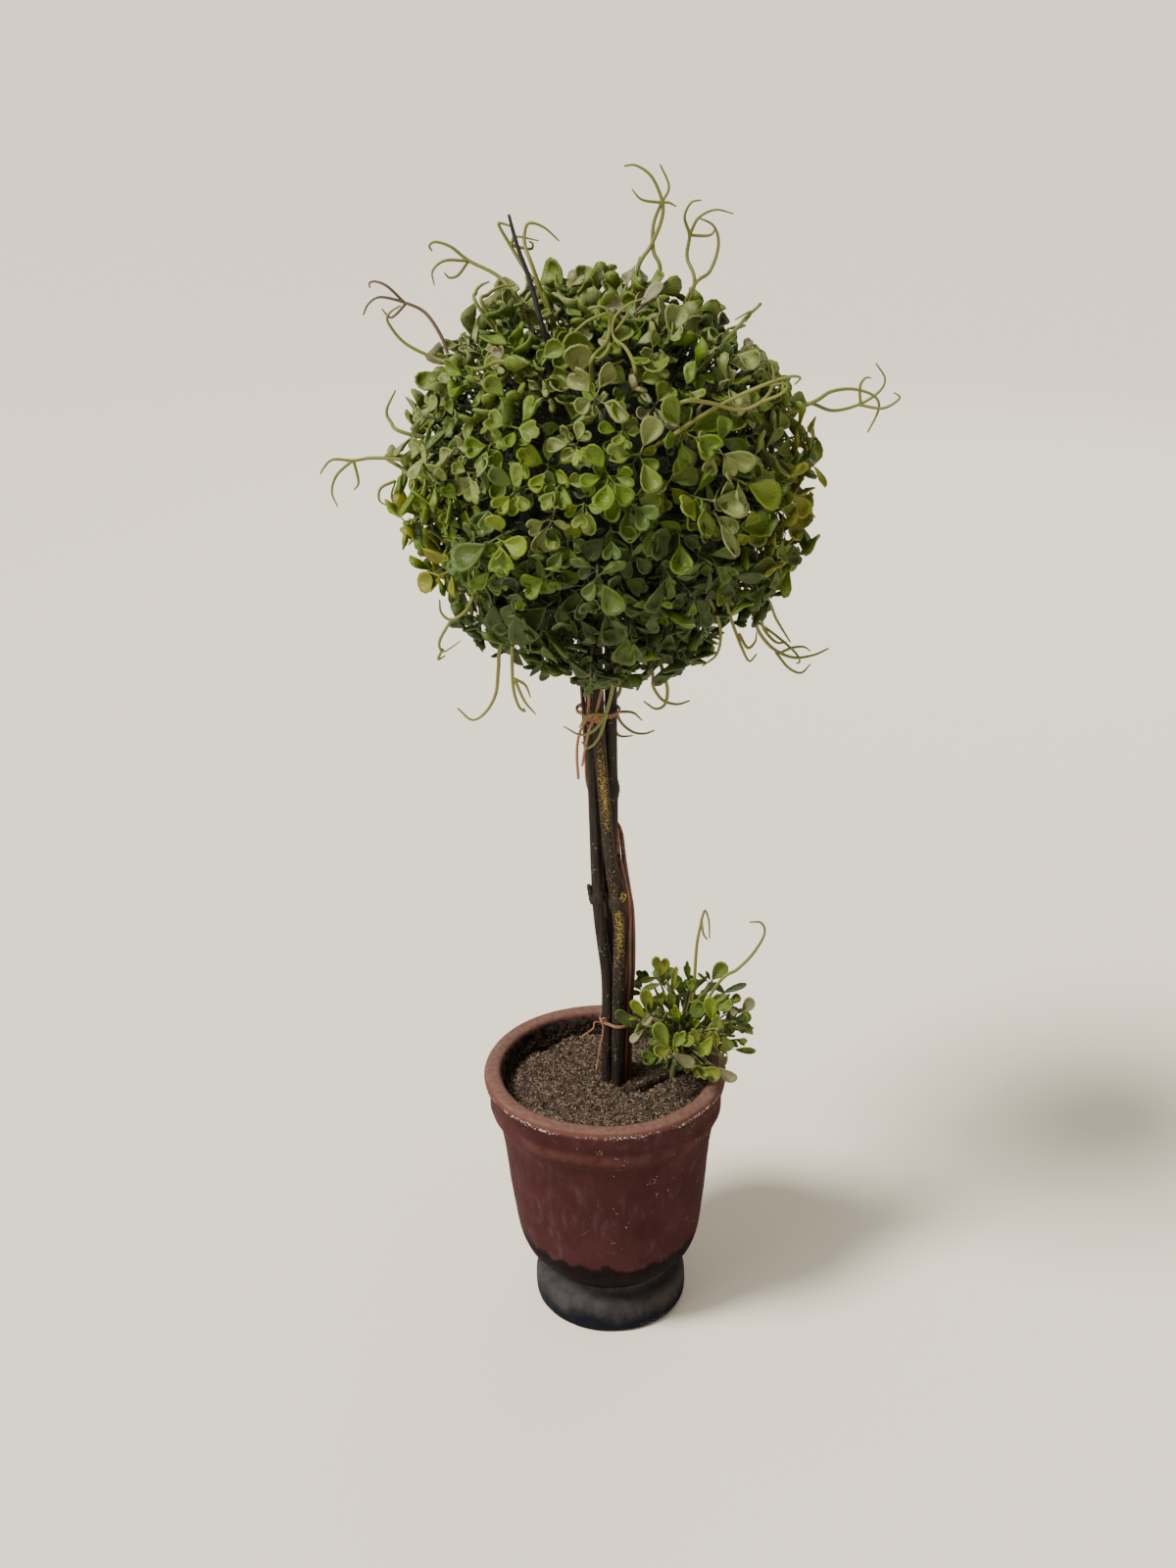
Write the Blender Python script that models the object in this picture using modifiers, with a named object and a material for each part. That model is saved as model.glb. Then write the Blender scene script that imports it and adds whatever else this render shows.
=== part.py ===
"""Potted ball topiary, an artificial one: a clipped ball of spoon-shaped leaves on a trunk of
three bound canes, with a small clump of the same leaves beside it, in a footed pot.

Metres, +Z up. The origin is the middle of the pot's flat underside, and -Y is the front.
Lists of places are in millimetres and pass through mm().
"""

import math
import random

import bmesh
import bpy
from mathutils import Matrix, Vector

# Driving dimensions
GAP = 0.0003
POT_HEIGHT = 0.1285
RIM_RADIUS = 0.0573
MOUTH_RADIUS = 0.0493
FOOT_RADIUS = 0.0366
FOOT_HEIGHT = 0.0174
NECK_RADIUS = 0.0290
HOLLOW_FLOOR = 0.0300
POT_LEAN = -0.017
POT_SIDES = 28
FILL_TOP = 0.1195
FILL_FALL = 0.0030
SOCKET_EASE = 0.0008

BALL_CENTRE = Vector((0.0, 0.0, 0.412))
BALL_RADIUS = 0.087
BALL_SQUASH = 0.995
CORE_RADIUS = 0.066
CANE_TOP = 0.398
TRUNK_CLEAR = 0.0135

LEAF_LENGTH = 0.0205
LEAF_WIDTH = 0.0155
LEAF_THICKNESS = 0.0014
LEAF_ROOM = 0.53
SPRIG_COUNT = 77
ROOT_DEPTH = 0.007
SPRIG_RADIUS = 0.0014
LEAF_STEP = 0.0019
LEAF_SUNK = 0.0003
LEAVES_PER_SPRIG = 4
LEAF_SPREAD = math.radians(60)
LEAF_FALL = 0.18
SPRIG_INSET = 0.0115
DROOP = 0.34
SEED = 11

TENDRIL_RADIUS = 0.0008
CLUMP_FOOT = Vector((0.030, 0.006, FILL_TOP))
CLUMP_CROWN = Vector((0.034, 0.003, FILL_TOP + 0.018))
CLUMP_STEM = 0.0022
CLUMP_SUNK = 0.008
CLUMP_TWIGS = 13
CLUMP_TWIG_RADIUS = 0.0009
CLUMP_REACH = 0.0305
CLUMP_LEAN = Vector((0.12, -0.05, 0.24))
CLUMP_LEAF = 0.0130
CLUMP_WIDTH = 0.0090

# Colour, roughness and metallic value of each material
FINISHES = {
    "pot_clay": ((0.075, 0.021, 0.021), 0.85),
    "pot_filler": ((0.15, 0.11, 0.08), 1.0),
    "cane_bark": ((0.045, 0.035, 0.028), 0.8),
    "vine": ((0.10, 0.032, 0.022), 0.5),
    "twine": ((0.37, 0.13, 0.06), 0.8),
    "stick": ((0.01, 0.01, 0.012), 0.5),
    "leaf": ((0.11, 0.20, 0.05), 0.55),
}

# Canes: radius and the height of the knot, then height, x and y along the middle line
CANES = {
    "cane_left": (2.60, 218, ((92, -1.1, 1.1), (125, -1.1, 1.1), (165, -0.9, 0.9), (178, -1.3, 0.8),
                              (194, -3.1, 0.7), (206, -4.4, 0.6), (222, -5.3, 0.6), (250, -6.0, 0.9),
                              (295, -6.8, 1.3), (398, -8.2, 1.6))),
    "cane_front": (2.70, 216, ((92, 3.4, -3.1), (125, 3.5, -3.1), (155, 3.9, -3.0), (196, 4.7, -2.9),
                               (206, 4.7, -2.9), (226, 2.1, -3.1), (246, -0.2, -3.5), (265, -1.6, -3.7),
                               (303, -4.0, -4.2), (398, -5.4, -4.8))),
    "cane_back": (2.85, 270, ((92, 2.4, 6.7), (128, 2.3, 6.7), (171, 1.2, 6.8), (192, 0.3, 6.6),
                              (212, -1.0, 6.4), (224, -0.9, 5.8), (237, 0.3, 4.7), (250, 1.5, 3.4),
                              (280, 1.5, 1.9), (300, 1.4, 1.2), (350, 1.5, 1.0), (398, 1.4, 1.0))),
}

# Vine strands, all red-brown: radius, then height, x and y
VINES = {
    "vine_strand_1": (1.05, ((96, 9.4, 1.2), (124, 9.4, 1.2), (152, 9.6, 1.4), (182, 11.2, 1.2),
                             (208, 10.8, 1.8), (222, 9.0, 2.2), (236, 6.9, 3.2), (248, 5.0, 7.4),
                             (256, -1.0, 8.6), (264, -6.5, 6.8), (272, -9.0, 4.8), (284, -9.5, 4.3),
                             (296, -10.0, 4.0), (310, -10.7, 3.5), (326, -11.6, 3.0))),
    "vine_strand_2": (0.95, ((96, 7.6, 4.2), (124, 7.6, 4.2), (152, 8.2, 4.3), (182, 9.6, 4.1),
                             (208, 8.0, 4.8), (226, 7.5, 6.2), (238, 6.7, 8.0), (246, 3.6, 10.2))),
    "vine_strand_3": (0.85, ((96, 7.4, -1.2), (124, 7.4, -1.2), (152, 8.2, -1.3), (176, 9.4, -1.4),
                             (196, 9.3, -1.2), (212, 9.3, -1.1), (226, 7.2, -0.6), (238, 4.8, 0.4))),
}

# Copper twine that hangs from the ball under the upper tie: radius, then height, x and y
HANGERS = {
    "twine_end_1": (0.75, ((277, -13.2, -2.4), (291, -13.6, -3.2), (300, -12.2, -4.4), (309, -8.6, -5.4),
                           (330, -8.0, -8.2))),
    "twine_end_2": (0.65, ((284, -11.4, -4.4), (293, -10.0, -5.4), (303, -8.0, -7.4), (309, -5.6, -8.2),
                           (324, -2.0, -8.8))),
}

# Ties: their heights, and the lower one's loose ends
LOWER_TIE = 153
UPPER_TIE = 309
TWINE_RADIUS = 0.7
LOOSE_ENDS = ((-12.8, -9.5, 150), (-6.4, -9.0, 131))

# The black stick in the top of the ball, in mm from the ball's centre
STICK_FOOT = (-18, -30, 46)
STICK_TIP = (-37, -24, 110)
STICK_RADIUS = 0.0010

# Tendrils, in mm from the ball's centre: y at the root and at the tips, x and z of the stem,
# then x and z of each tip
TENDRILS = (
    (-6, -2, ((13, 82), (22, 98), (22, 111)), ((8, 125), (21, 125), (11, 116), (28, 109))),
    (-4, 4, ((34, 77), (32, 89), (34, 98)), ((38, 111), (50, 107), (44, 98))),
    (-8, 0, ((-26, 78), (-32, 90), (-37, 94)), ((-41, 104), (-18, 96), (-30, 95))),
    (-4, 4, ((-37, 74), (-46, 86), (-54, 89)), ((-68, 91), (-68, 80), (-62, 82))),
    (-4, 2, ((-60, 50), (-68, 63), (-80, 71)), ((-95, 79), (-97, 67), (-88, 67))),
    (-44, -8, ((-42, 54), (-62, 56), (-83, 62)), ((-88, 69), (-79, 73))),
    (-4, 2, ((-82, 20), (-89, 27), (-90, 32)), ((-85, 39),)),
    (-6, 0, ((-76, 5), (-90, 10), (-104, 8)), ((-118, 3), (-111, -12), (-103, -5))),
    (4, -6, ((-80, -2), (-90, -3), (-93, -6)), ((-91, -11), (-84, -13))),
    (-2, 2, ((78, 30), (93, 27), (105, 30)), ((110, 46), (119, 34), (109, 17), (106, 38))),
    (-62, -56, ((26, 38), (48, 47), (64, 54)), ((73, 56), (60, 62))),
    (-20, -16, ((50, 64), (57, 71), (60, 74)), ((66, 76),)),
    (-14, -8, ((56, -52), (68, -69), (78, -74)), ((94, -71), (86, -81), (85, -66))),
    (-52, -46, ((42, -24), (48, -44), (52, -52)), ((56, -62), (40, -64))),
    (-22, -20, ((22, -72), (25, -86), (26, -93)), ((36, -92), (15, -91))),
    (-26, -17, ((1, -58), (3, -81), (0, -97)), ((-19, -102), (-11, -112), (-13, -103))),
    (16, 15, ((4, -66), (6, -86), (4, -98)), ((21, -117), (16, -110), (11, -120))),
    (-22, -18, ((-42, -60), (-48, -84), (-54, -97)), ((-65, -93),)),
    (-56, -46, ((-34, -26), (-38, -51), (-38, -70)), ((-35, -84), (-29, -83))),
    (-46, -40, ((-44, -18), (-54, -38), (-62, -46)), ((-69, -42), (-67, -65))),
)

# Two more rise from the clump, in mm from the middle of the pot's underside
CLUMP_TENDRILS = (
    (2, 0, ((38, 160), (39, 184), (43, 206)), ((47, 194),)),
    (-2, 0, ((50, 168), (62, 182), (71, 193)), ((64, 203),)),
)

# The unseen side repeats some of them, turned about the trunk
BACK_TURNS = ((7, -64), (9, 74), (10, 134), (12, 122), (13, 170), (17, -130), (19, -160))


def mm(*values):
    return Vector([value / 1000 for value in values])


def clear_scene():
    for old in list(bpy.data.objects):
        bpy.data.objects.remove(old)


def new_collection(name):
    made = bpy.data.collections.new(name)
    bpy.context.scene.collection.children.link(made)
    return made


def finish_material(name):
    found = bpy.data.materials.get(name)
    if found:
        return found
    colour, roughness = FINISHES[name]
    made = bpy.data.materials.new(name)
    made.use_nodes = True
    shader = made.node_tree.nodes["Principled BSDF"]
    shader.inputs["Base Color"].default_value = (*colour, 1.0)
    shader.inputs["Roughness"].default_value = roughness
    shader.inputs["Metallic"].default_value = 0.0
    return made


def add_object(name, mesh, collection, material=None):
    made = bpy.data.objects.new(name, mesh)
    collection.objects.link(made)
    if material:
        mesh.materials.clear()
        mesh.materials.append(finish_material(material))
    return made


def evaluated_mesh(thing):
    bpy.context.view_layer.update()
    graph = bpy.context.evaluated_depsgraph_get()
    return bpy.data.meshes.new_from_object(thing.evaluated_get(graph))


def weld(mesh, distance=1e-6):
    bm = bmesh.new()
    bm.from_mesh(mesh)
    bmesh.ops.remove_doubles(bm, verts=bm.verts, dist=distance)
    bmesh.ops.recalc_face_normals(bm, faces=bm.faces)
    bm.to_mesh(mesh)
    bm.free()


def bake_modifiers(thing):
    """Keep the shape that the modifiers give, and drop them."""
    mesh = evaluated_mesh(thing)
    thing.modifiers.clear()
    thing.data = mesh


def combine(target, collection, operation):
    """One Boolean on a whole collection, applied, with the collection's objects then removed."""
    joint = target.modifiers.new("joined", "BOOLEAN")
    joint.operation = operation
    joint.operand_type = "COLLECTION"
    joint.collection = collection
    joint.solver = "EXACT"
    bake_modifiers(target)
    for used in list(collection.objects):
        bpy.data.objects.remove(used)
    bpy.data.collections.remove(collection)


def islands(bm):
    """The separate bodies of a mesh, each a list of faces."""
    waiting = set(bm.faces)
    while waiting:
        stack = [waiting.pop()]
        body = []
        while stack:
            face = stack.pop()
            body.append(face)
            for edge in face.edges:
                for other in edge.link_faces:
                    if other in waiting:
                        waiting.remove(other)
                        stack.append(other)
        yield body


def signed_volume(faces):
    total = 0.0
    for face in faces:
        first = face.verts[0].co
        for a, b in zip(face.verts[1:-1], face.verts[2:]):
            total += first.dot(a.co.cross(b.co)) / 6
    return total


def keep_main_body(thing):
    """Fill the hollows that fusing sealed and drop loose scraps: both are separate bodies."""
    bm = bmesh.new()
    bm.from_mesh(thing.data)
    bmesh.ops.triangulate(bm, faces=bm.faces)
    bodies = sorted(islands(bm), key=signed_volume)
    for body in bodies[:-1]:
        bmesh.ops.delete(bm, geom=body, context="FACES")
    bm.to_mesh(thing.data)
    bm.free()


def shade_round(thing, degrees=40):
    thing.data.shade_smooth()
    thing.data.set_sharp_from_angle(angle=math.radians(degrees))


def track(points, height):
    """x and y of a strand at a height, on a smooth curve through its own points."""
    points = sorted(points)
    last = len(points) - 2
    step = 0
    while step < last and height > points[step + 1][0]:
        step += 1
    before, start = points[max(step - 1, 0)], points[step]
    end, after = points[step + 1], points[min(step + 2, len(points) - 1)]
    span = end[0] - start[0]
    t = (height - start[0]) / span
    place = []
    for axis in (1, 2):
        slope_in = (end[axis] - before[axis]) / (end[0] - before[0]) * span
        slope_out = (after[axis] - start[axis]) / (after[0] - start[0]) * span
        place.append((2 * t**3 - 3 * t**2 + 1) * start[axis] + (t**3 - 2 * t**2 + t) * slope_in
                     + (3 * t**2 - 2 * t**3) * end[axis] + (t**3 - t**2) * slope_out)
    return place


def cane_radius(radius, knot, height):
    """A cane thins upwards and swells at its knot."""
    taper = 1.06 - 0.12 * (height - 92) / 306
    swelling = 1 + 0.32 * math.exp(-((height - knot) / 3.5) ** 2)
    return radius * taper * swelling


def tube(name, points, radii, collection, material=None, resolution=2, closed=False):
    """A round bar through the points, as a closed mesh."""
    curve = bpy.data.curves.new(name, "CURVE")
    curve.dimensions = "3D"
    curve.bevel_depth = 1.0
    curve.bevel_resolution = resolution
    curve.use_fill_caps = not closed
    line = curve.splines.new("POLY")
    line.points.add(len(points) - 1)
    line.use_cyclic_u = closed
    for spot, point, radius in zip(line.points, points, radii):
        spot.co = (*point, 1.0)
        spot.radius = radius
    guide = bpy.data.objects.new(name + "_guide", curve)
    bpy.context.scene.collection.objects.link(guide)
    mesh = evaluated_mesh(guide)
    bpy.data.objects.remove(guide)
    weld(mesh)
    return add_object(name, mesh, collection, material)


def heights(low, high, count):
    return [low + (high - low) * index / (count - 1) for index in range(count)]


def cane_line(name, extra=0.0, low=None, high=None, count=18):
    """Points and radii of a cane between two heights, in metres."""
    radius, knot, points = CANES[name]
    low = points[0][0] if low is None else low
    high = points[-1][0] if high is None else high
    levels = heights(low, high, count)
    if low < knot - 8 and high > knot + 8:
        levels = sorted(levels + [knot - 5, knot - 2, knot + 1, knot + 4])
    places = [mm(*track(points, z), z) for z in levels]
    return places, [cane_radius(radius, knot, z) / 1000 + extra for z in levels]


def strand_line(entry, extra=0.0, low=None, high=None, count=24):
    radius, points = entry
    ends = sorted(points)
    low = ends[0][0] if low is None else low
    high = ends[-1][0] if high is None else high
    levels = heights(low, high, count)
    return [mm(*track(points, z), z) for z in levels], [radius / 1000 + extra] * count


def inner_profile():
    """The pot's inside, radius and height, from the bottom up."""
    return ((0.0300, HOLLOW_FLOOR), (0.0355, HOLLOW_FLOOR + 0.007), (0.0405, 0.0580),
            (0.0450, 0.0930), (MOUTH_RADIUS - 0.0012, POT_HEIGHT - 0.006))


def inner_radius(height):
    stops = inner_profile()
    for (r0, z0), (r1, z1) in zip(stops, stops[1:]):
        if height <= z1:
            return r0 + (r1 - r0) * (height - z0) / (z1 - z0)
    return stops[-1][0]


def lean(thing):
    """The hand-made pot's axis leans a little to the left as it rises."""
    for vertex in thing.data.vertices:
        vertex.co.x += POT_LEAN * vertex.co.z


def turned(name, profile, collection, material, sides=POT_SIDES):
    """A shape turned about +Z from a profile of radius and height."""
    mesh = bpy.data.meshes.new(name)
    mesh.from_pydata([(radius, 0.0, height) for radius, height in profile],
                     [(step, step + 1) for step in range(len(profile) - 1)], [])
    thing = add_object(name, mesh, collection, material)
    screw = thing.modifiers.new("turned", "SCREW")
    screw.steps = screw.render_steps = sides
    screw.use_merge_vertices = True
    screw.merge_threshold = 1e-5
    bake_modifiers(thing)
    return thing


def build_pot(collection):
    """A body like a deep bowl, with a flat lip and a bead under it, on a short neck and a foot."""
    rim, mouth, top = RIM_RADIUS, MOUTH_RADIUS, POT_HEIGHT
    inside = [(0.0, HOLLOW_FLOOR)] + list(inner_profile())
    lip = [(mouth, top - 0.0015), (mouth + 0.0018, top), (rim - 0.0018, top), (rim, top - 0.0018),
           (rim - 0.0002, top - 0.0060), (rim - 0.0026, top - 0.0125)]
    bead = [(rim - 0.0024, top - 0.0172), (rim - 0.0031, top - 0.0205), (rim - 0.0056, top - 0.0250)]
    bowl = [(rim - 0.0068, top - 0.0300), (rim - 0.0082, top - 0.0385), (rim - 0.0108, top - 0.0635),
            (rim - 0.0129, top - 0.0825), (rim - 0.0146, top - 0.0908), (rim - 0.0167, top - 0.0957),
            (rim - 0.0209, top - 0.1005), (rim - 0.0256, top - 0.1045)]
    foot = [(NECK_RADIUS, FOOT_HEIGHT + 0.0024), (FOOT_RADIUS - 0.0030, FOOT_HEIGHT),
            (FOOT_RADIUS - 0.0006, FOOT_HEIGHT - 0.0014), (FOOT_RADIUS, FOOT_HEIGHT - 0.0040),
            (FOOT_RADIUS, 0.0016), (FOOT_RADIUS - 0.0014, 0.0), (0.0, 0.0)]
    pot = turned("pot", inside + lip + bead + bowl + foot, collection, "pot_clay")
    lean(pot)
    shade_round(pot)
    return pot


def build_fill(collection):
    """Coarse filler to just under the rim, with a socket for every stem."""
    top, fall = FILL_TOP, FILL_FALL
    edge = top - fall
    profile = [(0.0, top), (0.018, top - 0.0002), (0.034, top - 0.3 * fall),
               (inner_radius(edge) - GAP, edge)]
    for radius, height in reversed(inner_profile()[1:-1]):
        profile.append((radius - GAP, height))
    profile += [(inner_profile()[0][0], HOLLOW_FLOOR + GAP), (0.0, HOLLOW_FLOOR + GAP)]
    fill = turned("pot_fill", profile, collection, "pot_filler", POT_SIDES)
    lean(fill)
    sockets = new_collection("sockets")
    for name in CANES:
        low = CANES[name][2][0][0]
        line, radii = cane_line(name, SOCKET_EASE, low - 0.4, FILL_TOP * 1000 + 8, 2)
        tube(name + "_socket", line, radii, sockets, resolution=1)
    for name, entry in VINES.items():
        line, radii = strand_line(entry, SOCKET_EASE, entry[1][0][0] - 0.4, FILL_TOP * 1000 + 8, 2)
        tube(name + "_socket", line, radii, sockets, resolution=1)
    foot = CLUMP_FOOT - Vector((0, 0, CLUMP_SUNK + GAP))
    rise = (CLUMP_CROWN - CLUMP_FOOT) * 0.6
    tube("clump_socket", [foot, CLUMP_FOOT, CLUMP_FOOT + rise], [CLUMP_STEM + SOCKET_EASE] * 3, sockets,
         resolution=1)
    for cutter in sockets.objects:
        cutter.hide_render = True
        cutter.display_type = "WIRE"
    combine(fill, sockets, "DIFFERENCE")
    keep_main_body(fill)
    return fill


def build_canes(collection):
    """Three canes, each with a knot, and a bud's stub on the two that show theirs."""
    stubs = {"cane_left": Vector((-0.9, -0.35, 0.75)), "cane_front": Vector((0.95, -0.4, 0.55))}
    for name, (radius, knot, points) in CANES.items():
        cane = tube(name, *cane_line(name), collection, "cane_bark")
        if name in stubs:
            out = stubs[name].normalized()
            start = mm(*track(points, knot), knot) + out * radius * 0.0004
            buds = new_collection(name + "_buds")
            ends = [start, start + out * 0.0034, start + out * 0.0052]
            tube(name + "_bud", ends, [0.0014, 0.0013, 0.0007], buds, resolution=1)
            combine(cane, buds, "UNION")
            keep_main_body(cane)
        cane.data.materials.clear()
        cane.data.materials.append(finish_material("cane_bark"))
        shade_round(cane)


def build_strands(collection):
    for name, entry in VINES.items():
        count = 24 if name == "vine_strand_1" else 16
        shade_round(tube(name, *strand_line(entry, count=count), collection, "vine", 1))
    for name, entry in HANGERS.items():
        shade_round(tube(name, *strand_line(entry, count=9), collection, "twine", 1))


def bundle_at(height, groups):
    """Middle and radius of every cane or strand at a height, in millimetres."""
    members = []
    for name, (radius, knot, points) in CANES.items():
        members.append((Vector(track(points, height)), cane_radius(radius, knot, height)))
    for group in groups:
        for radius, points in group.values():
            if min(points)[0] <= height <= max(points)[0]:
                members.append((Vector(track(points, height)), radius))
    return members


def tie_ring(height, radius, groups, tilt=0.6, count=16):
    """A loop of twine drawn tight round the bundle, clear of it by the gap."""
    members = bundle_at(height, groups)
    middle = sum((place for place, _ in members), Vector((0, 0))) / len(members)
    points = []
    for index in range(count):
        turn = 2 * math.pi * index / count
        out = Vector((math.cos(turn), math.sin(turn)))
        reach = max((place - middle).dot(out) + size for place, size in members)
        place = middle + out * (reach + radius + GAP * 1000 + 0.25)
        points.append(mm(*place, height + tilt * math.sin(turn)))
    return points


def build_ties(collection):
    """Two ties of copper twine, the lower one with a knot and two loose ends."""
    for name, height, groups in (("tie_lower", LOWER_TIE, (VINES,)),
                                 ("tie_upper", UPPER_TIE, (VINES, HANGERS))):
        ring = tie_ring(height, TWINE_RADIUS, groups)
        tie = tube(name, ring, [TWINE_RADIUS / 1000] * len(ring), collection, "twine", 1, closed=True)
        ends = new_collection(name + "_ends")
        if name == "tie_lower":
            knot = min(ring, key=lambda point: point.y + point.x)
            for number, tip in enumerate(LOOSE_ENDS):
                first = knot + mm(0.23 * number, 0.11, 0.17 * number)
                bend = (knot + mm(*tip)) / 2 + Vector((0, -0.0012, 0.0012))
                tube(f"end_{number}", [first, bend, mm(*tip)], [0.0006, 0.00055, 0.0005], ends,
                     resolution=1)
        else:
            knot = min(ring, key=lambda point: point.y)
            loop = [knot + mm(3.2 * math.cos(a) + 1.0, -1.2, 1.6 * math.sin(a) + 1.4)
                    for a in (math.pi * step / 3 for step in range(4))]
            tube("bow", [knot] + loop[::-1], [0.0006] * 5, ends, resolution=1)
        combine(tie, ends, "UNION")
        keep_main_body(tie)
        tie.data.materials.clear()
        tie.data.materials.append(finish_material("twine"))
        shade_round(tie)


def stick_ends():
    return BALL_CENTRE + mm(*STICK_FOOT), BALL_CENTRE + mm(*STICK_TIP)


def build_stick(collection):
    foot, tip = stick_ends()
    points = [foot.lerp(tip, share) for share in (0.0, 0.4, 0.7, 1.0)]
    points[2].x += 0.0006
    stick = tube("top_stick", points, [STICK_RADIUS, STICK_RADIUS, STICK_RADIUS * 0.9, 0.0006],
                 collection, "stick")
    shade_round(stick)


def near_segment(point, start, end):
    along = end - start
    share = max(0.0, min(1.0, (point - start).dot(along) / along.length_squared))
    return (point - start - along * share).length


def near_trunk(point):
    """True where a leaf or twig would touch the canes or the twine on them."""
    return point.z < BALL_CENTRE.z and math.hypot(point.x + 0.003, point.y) < TRUNK_CLEAR


def near_stick(point):
    return near_segment(point, *stick_ends()) < 0.0040


def near_pot(point):
    """True in the pot's wall or rim, and on or under the filler."""
    radius = math.hypot(point.x - POT_LEAN * point.z, point.y)
    if radius > RIM_RADIUS + 0.0015 or point.z > POT_HEIGHT + 0.0012:
        return False
    return radius > MOUTH_RADIUS - 0.003 or point.z < FILL_TOP + 0.0020


def leaf_mesh():
    """A spoon-shaped leaf of ten faces, one long and one wide: root at the origin, tip at +Y.

    A coarse ball with five sides, flattened: its ring becomes the leaf's outline, lifted at the
    edges so that the blade is cupped, and its poles become the middle of the two faces.
    """
    bm = bmesh.new()
    bmesh.ops.create_uvsphere(bm, u_segments=5, v_segments=2, radius=0.5)
    bmesh.ops.rotate(bm, verts=bm.verts, matrix=Matrix.Rotation(math.radians(-90), 3, "Z"))
    for vertex in bm.verts:
        if abs(vertex.co.z) > 0.1:
            thick = LEAF_THICKNESS / LEAF_LENGTH / 2
            vertex.co = Vector((0, 0.60, math.copysign(thick, vertex.co.z)))
        elif vertex.co.y < -0.4:
            vertex.co = Vector((0, 0, 0))
        elif vertex.co.y < 0.3:
            vertex.co = Vector((math.copysign(0.5, vertex.co.x), 0.58, 0.085))
        else:
            vertex.co = Vector((math.copysign(0.26, vertex.co.x), 1.0, 0.035))
    mesh = bpy.data.meshes.new("leaf")
    bm.to_mesh(mesh)
    bm.free()
    return mesh


def frame_along(axis, face):
    """Rotation with +Y along the axis and +Z as near as it can be to the face direction."""
    y = axis.normalized()
    x = y.cross(face).normalized()
    return Matrix((x, y, x.cross(y))).transposed()


def add_leaf(mesh, collection, root, axis, face, length, width):
    leaf = bpy.data.objects.new("leaf", mesh)
    collection.objects.link(leaf)
    turn = frame_along(axis, face).to_4x4()
    size = Matrix.Diagonal((width, length, length, 1.0))
    leaf.matrix_world = Matrix.Translation(root) @ turn @ size
    return leaf


def add_twig(collection, start, end, radius):
    """A straight three-sided twig, thinner at its far end."""
    bm = bmesh.new()
    length = (end - start).length
    bmesh.ops.create_cone(bm, cap_ends=True, segments=3, radius1=radius, radius2=radius * 0.7,
                          depth=length)
    mesh = bpy.data.meshes.new("twig")
    bm.to_mesh(mesh)
    bm.free()
    twig = bpy.data.objects.new("twig", mesh)
    collection.objects.link(twig)
    twig.matrix_world = (Matrix.Translation((start + end) / 2)
                         @ (end - start).to_track_quat("Z", "Y").to_matrix().to_4x4())


def sphere_directions(count, chance):
    """Directions spread evenly over a sphere on a golden spiral, each nudged a little."""
    golden = math.pi * (3 - math.sqrt(5))
    for index in range(count):
        rise = 1 - 2 * (index + 0.5) / count
        turn = golden * index
        flat = math.sqrt(1 - rise * rise)
        way = Vector((flat * math.cos(turn), flat * math.sin(turn), rise))
        nudge = Vector([chance.uniform(-1, 1) for _ in range(3)])
        yield (way + nudge * 0.6 / math.sqrt(count)).normalized()


def on_ball(way, radius):
    return BALL_CENTRE + Vector((way.x, way.y, way.z * BALL_SQUASH)) * radius


def sprig(way, chance):
    """The sprig rule: a twig out from the core that droops, and a rosette of leaves at its end.

    Gives the twig's two ends and, for each leaf, its root, axis, face, length and width.
    """
    start = on_ball(way, CORE_RADIUS - ROOT_DEPTH)
    hang = (way + Vector((0, 0, -DROOP * (1 - way.z) / 2))).normalized()
    end = on_ball(way, BALL_RADIUS - SPRIG_INSET) + (hang - way) * 0.012
    leaves = []
    side = hang.orthogonal().normalized()
    turn = chance.uniform(0, 2 * math.pi)
    for index in range(LEAVES_PER_SPRIG):
        angle = turn + 2 * math.pi * index / LEAVES_PER_SPRIG + chance.uniform(-0.25, 0.25)
        spread = LEAF_SPREAD * chance.uniform(0.75, 1.25)
        out = Matrix.Rotation(angle, 3, hang) @ side
        axis = (hang * math.cos(spread) + out * math.sin(spread)).normalized()
        axis = (axis + Vector((0, 0, -LEAF_FALL))).normalized()
        face = (hang * 1.0 - out * 0.35).normalized()
        scale = chance.uniform(0.88, 1.1)
        root = end - (end - start).normalized() * LEAF_STEP * index - axis * LEAF_SUNK
        leaves.append((root, axis, face, LEAF_LENGTH * scale, LEAF_WIDTH * scale))
    return start, end, leaves


def leaf_points(root, axis, face, length, width):
    side = axis.cross(face).normalized() * width * 0.55
    tip = root + axis * length
    belly = root + axis * length * 0.65
    return root, belly, tip, belly + side, belly - side


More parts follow.
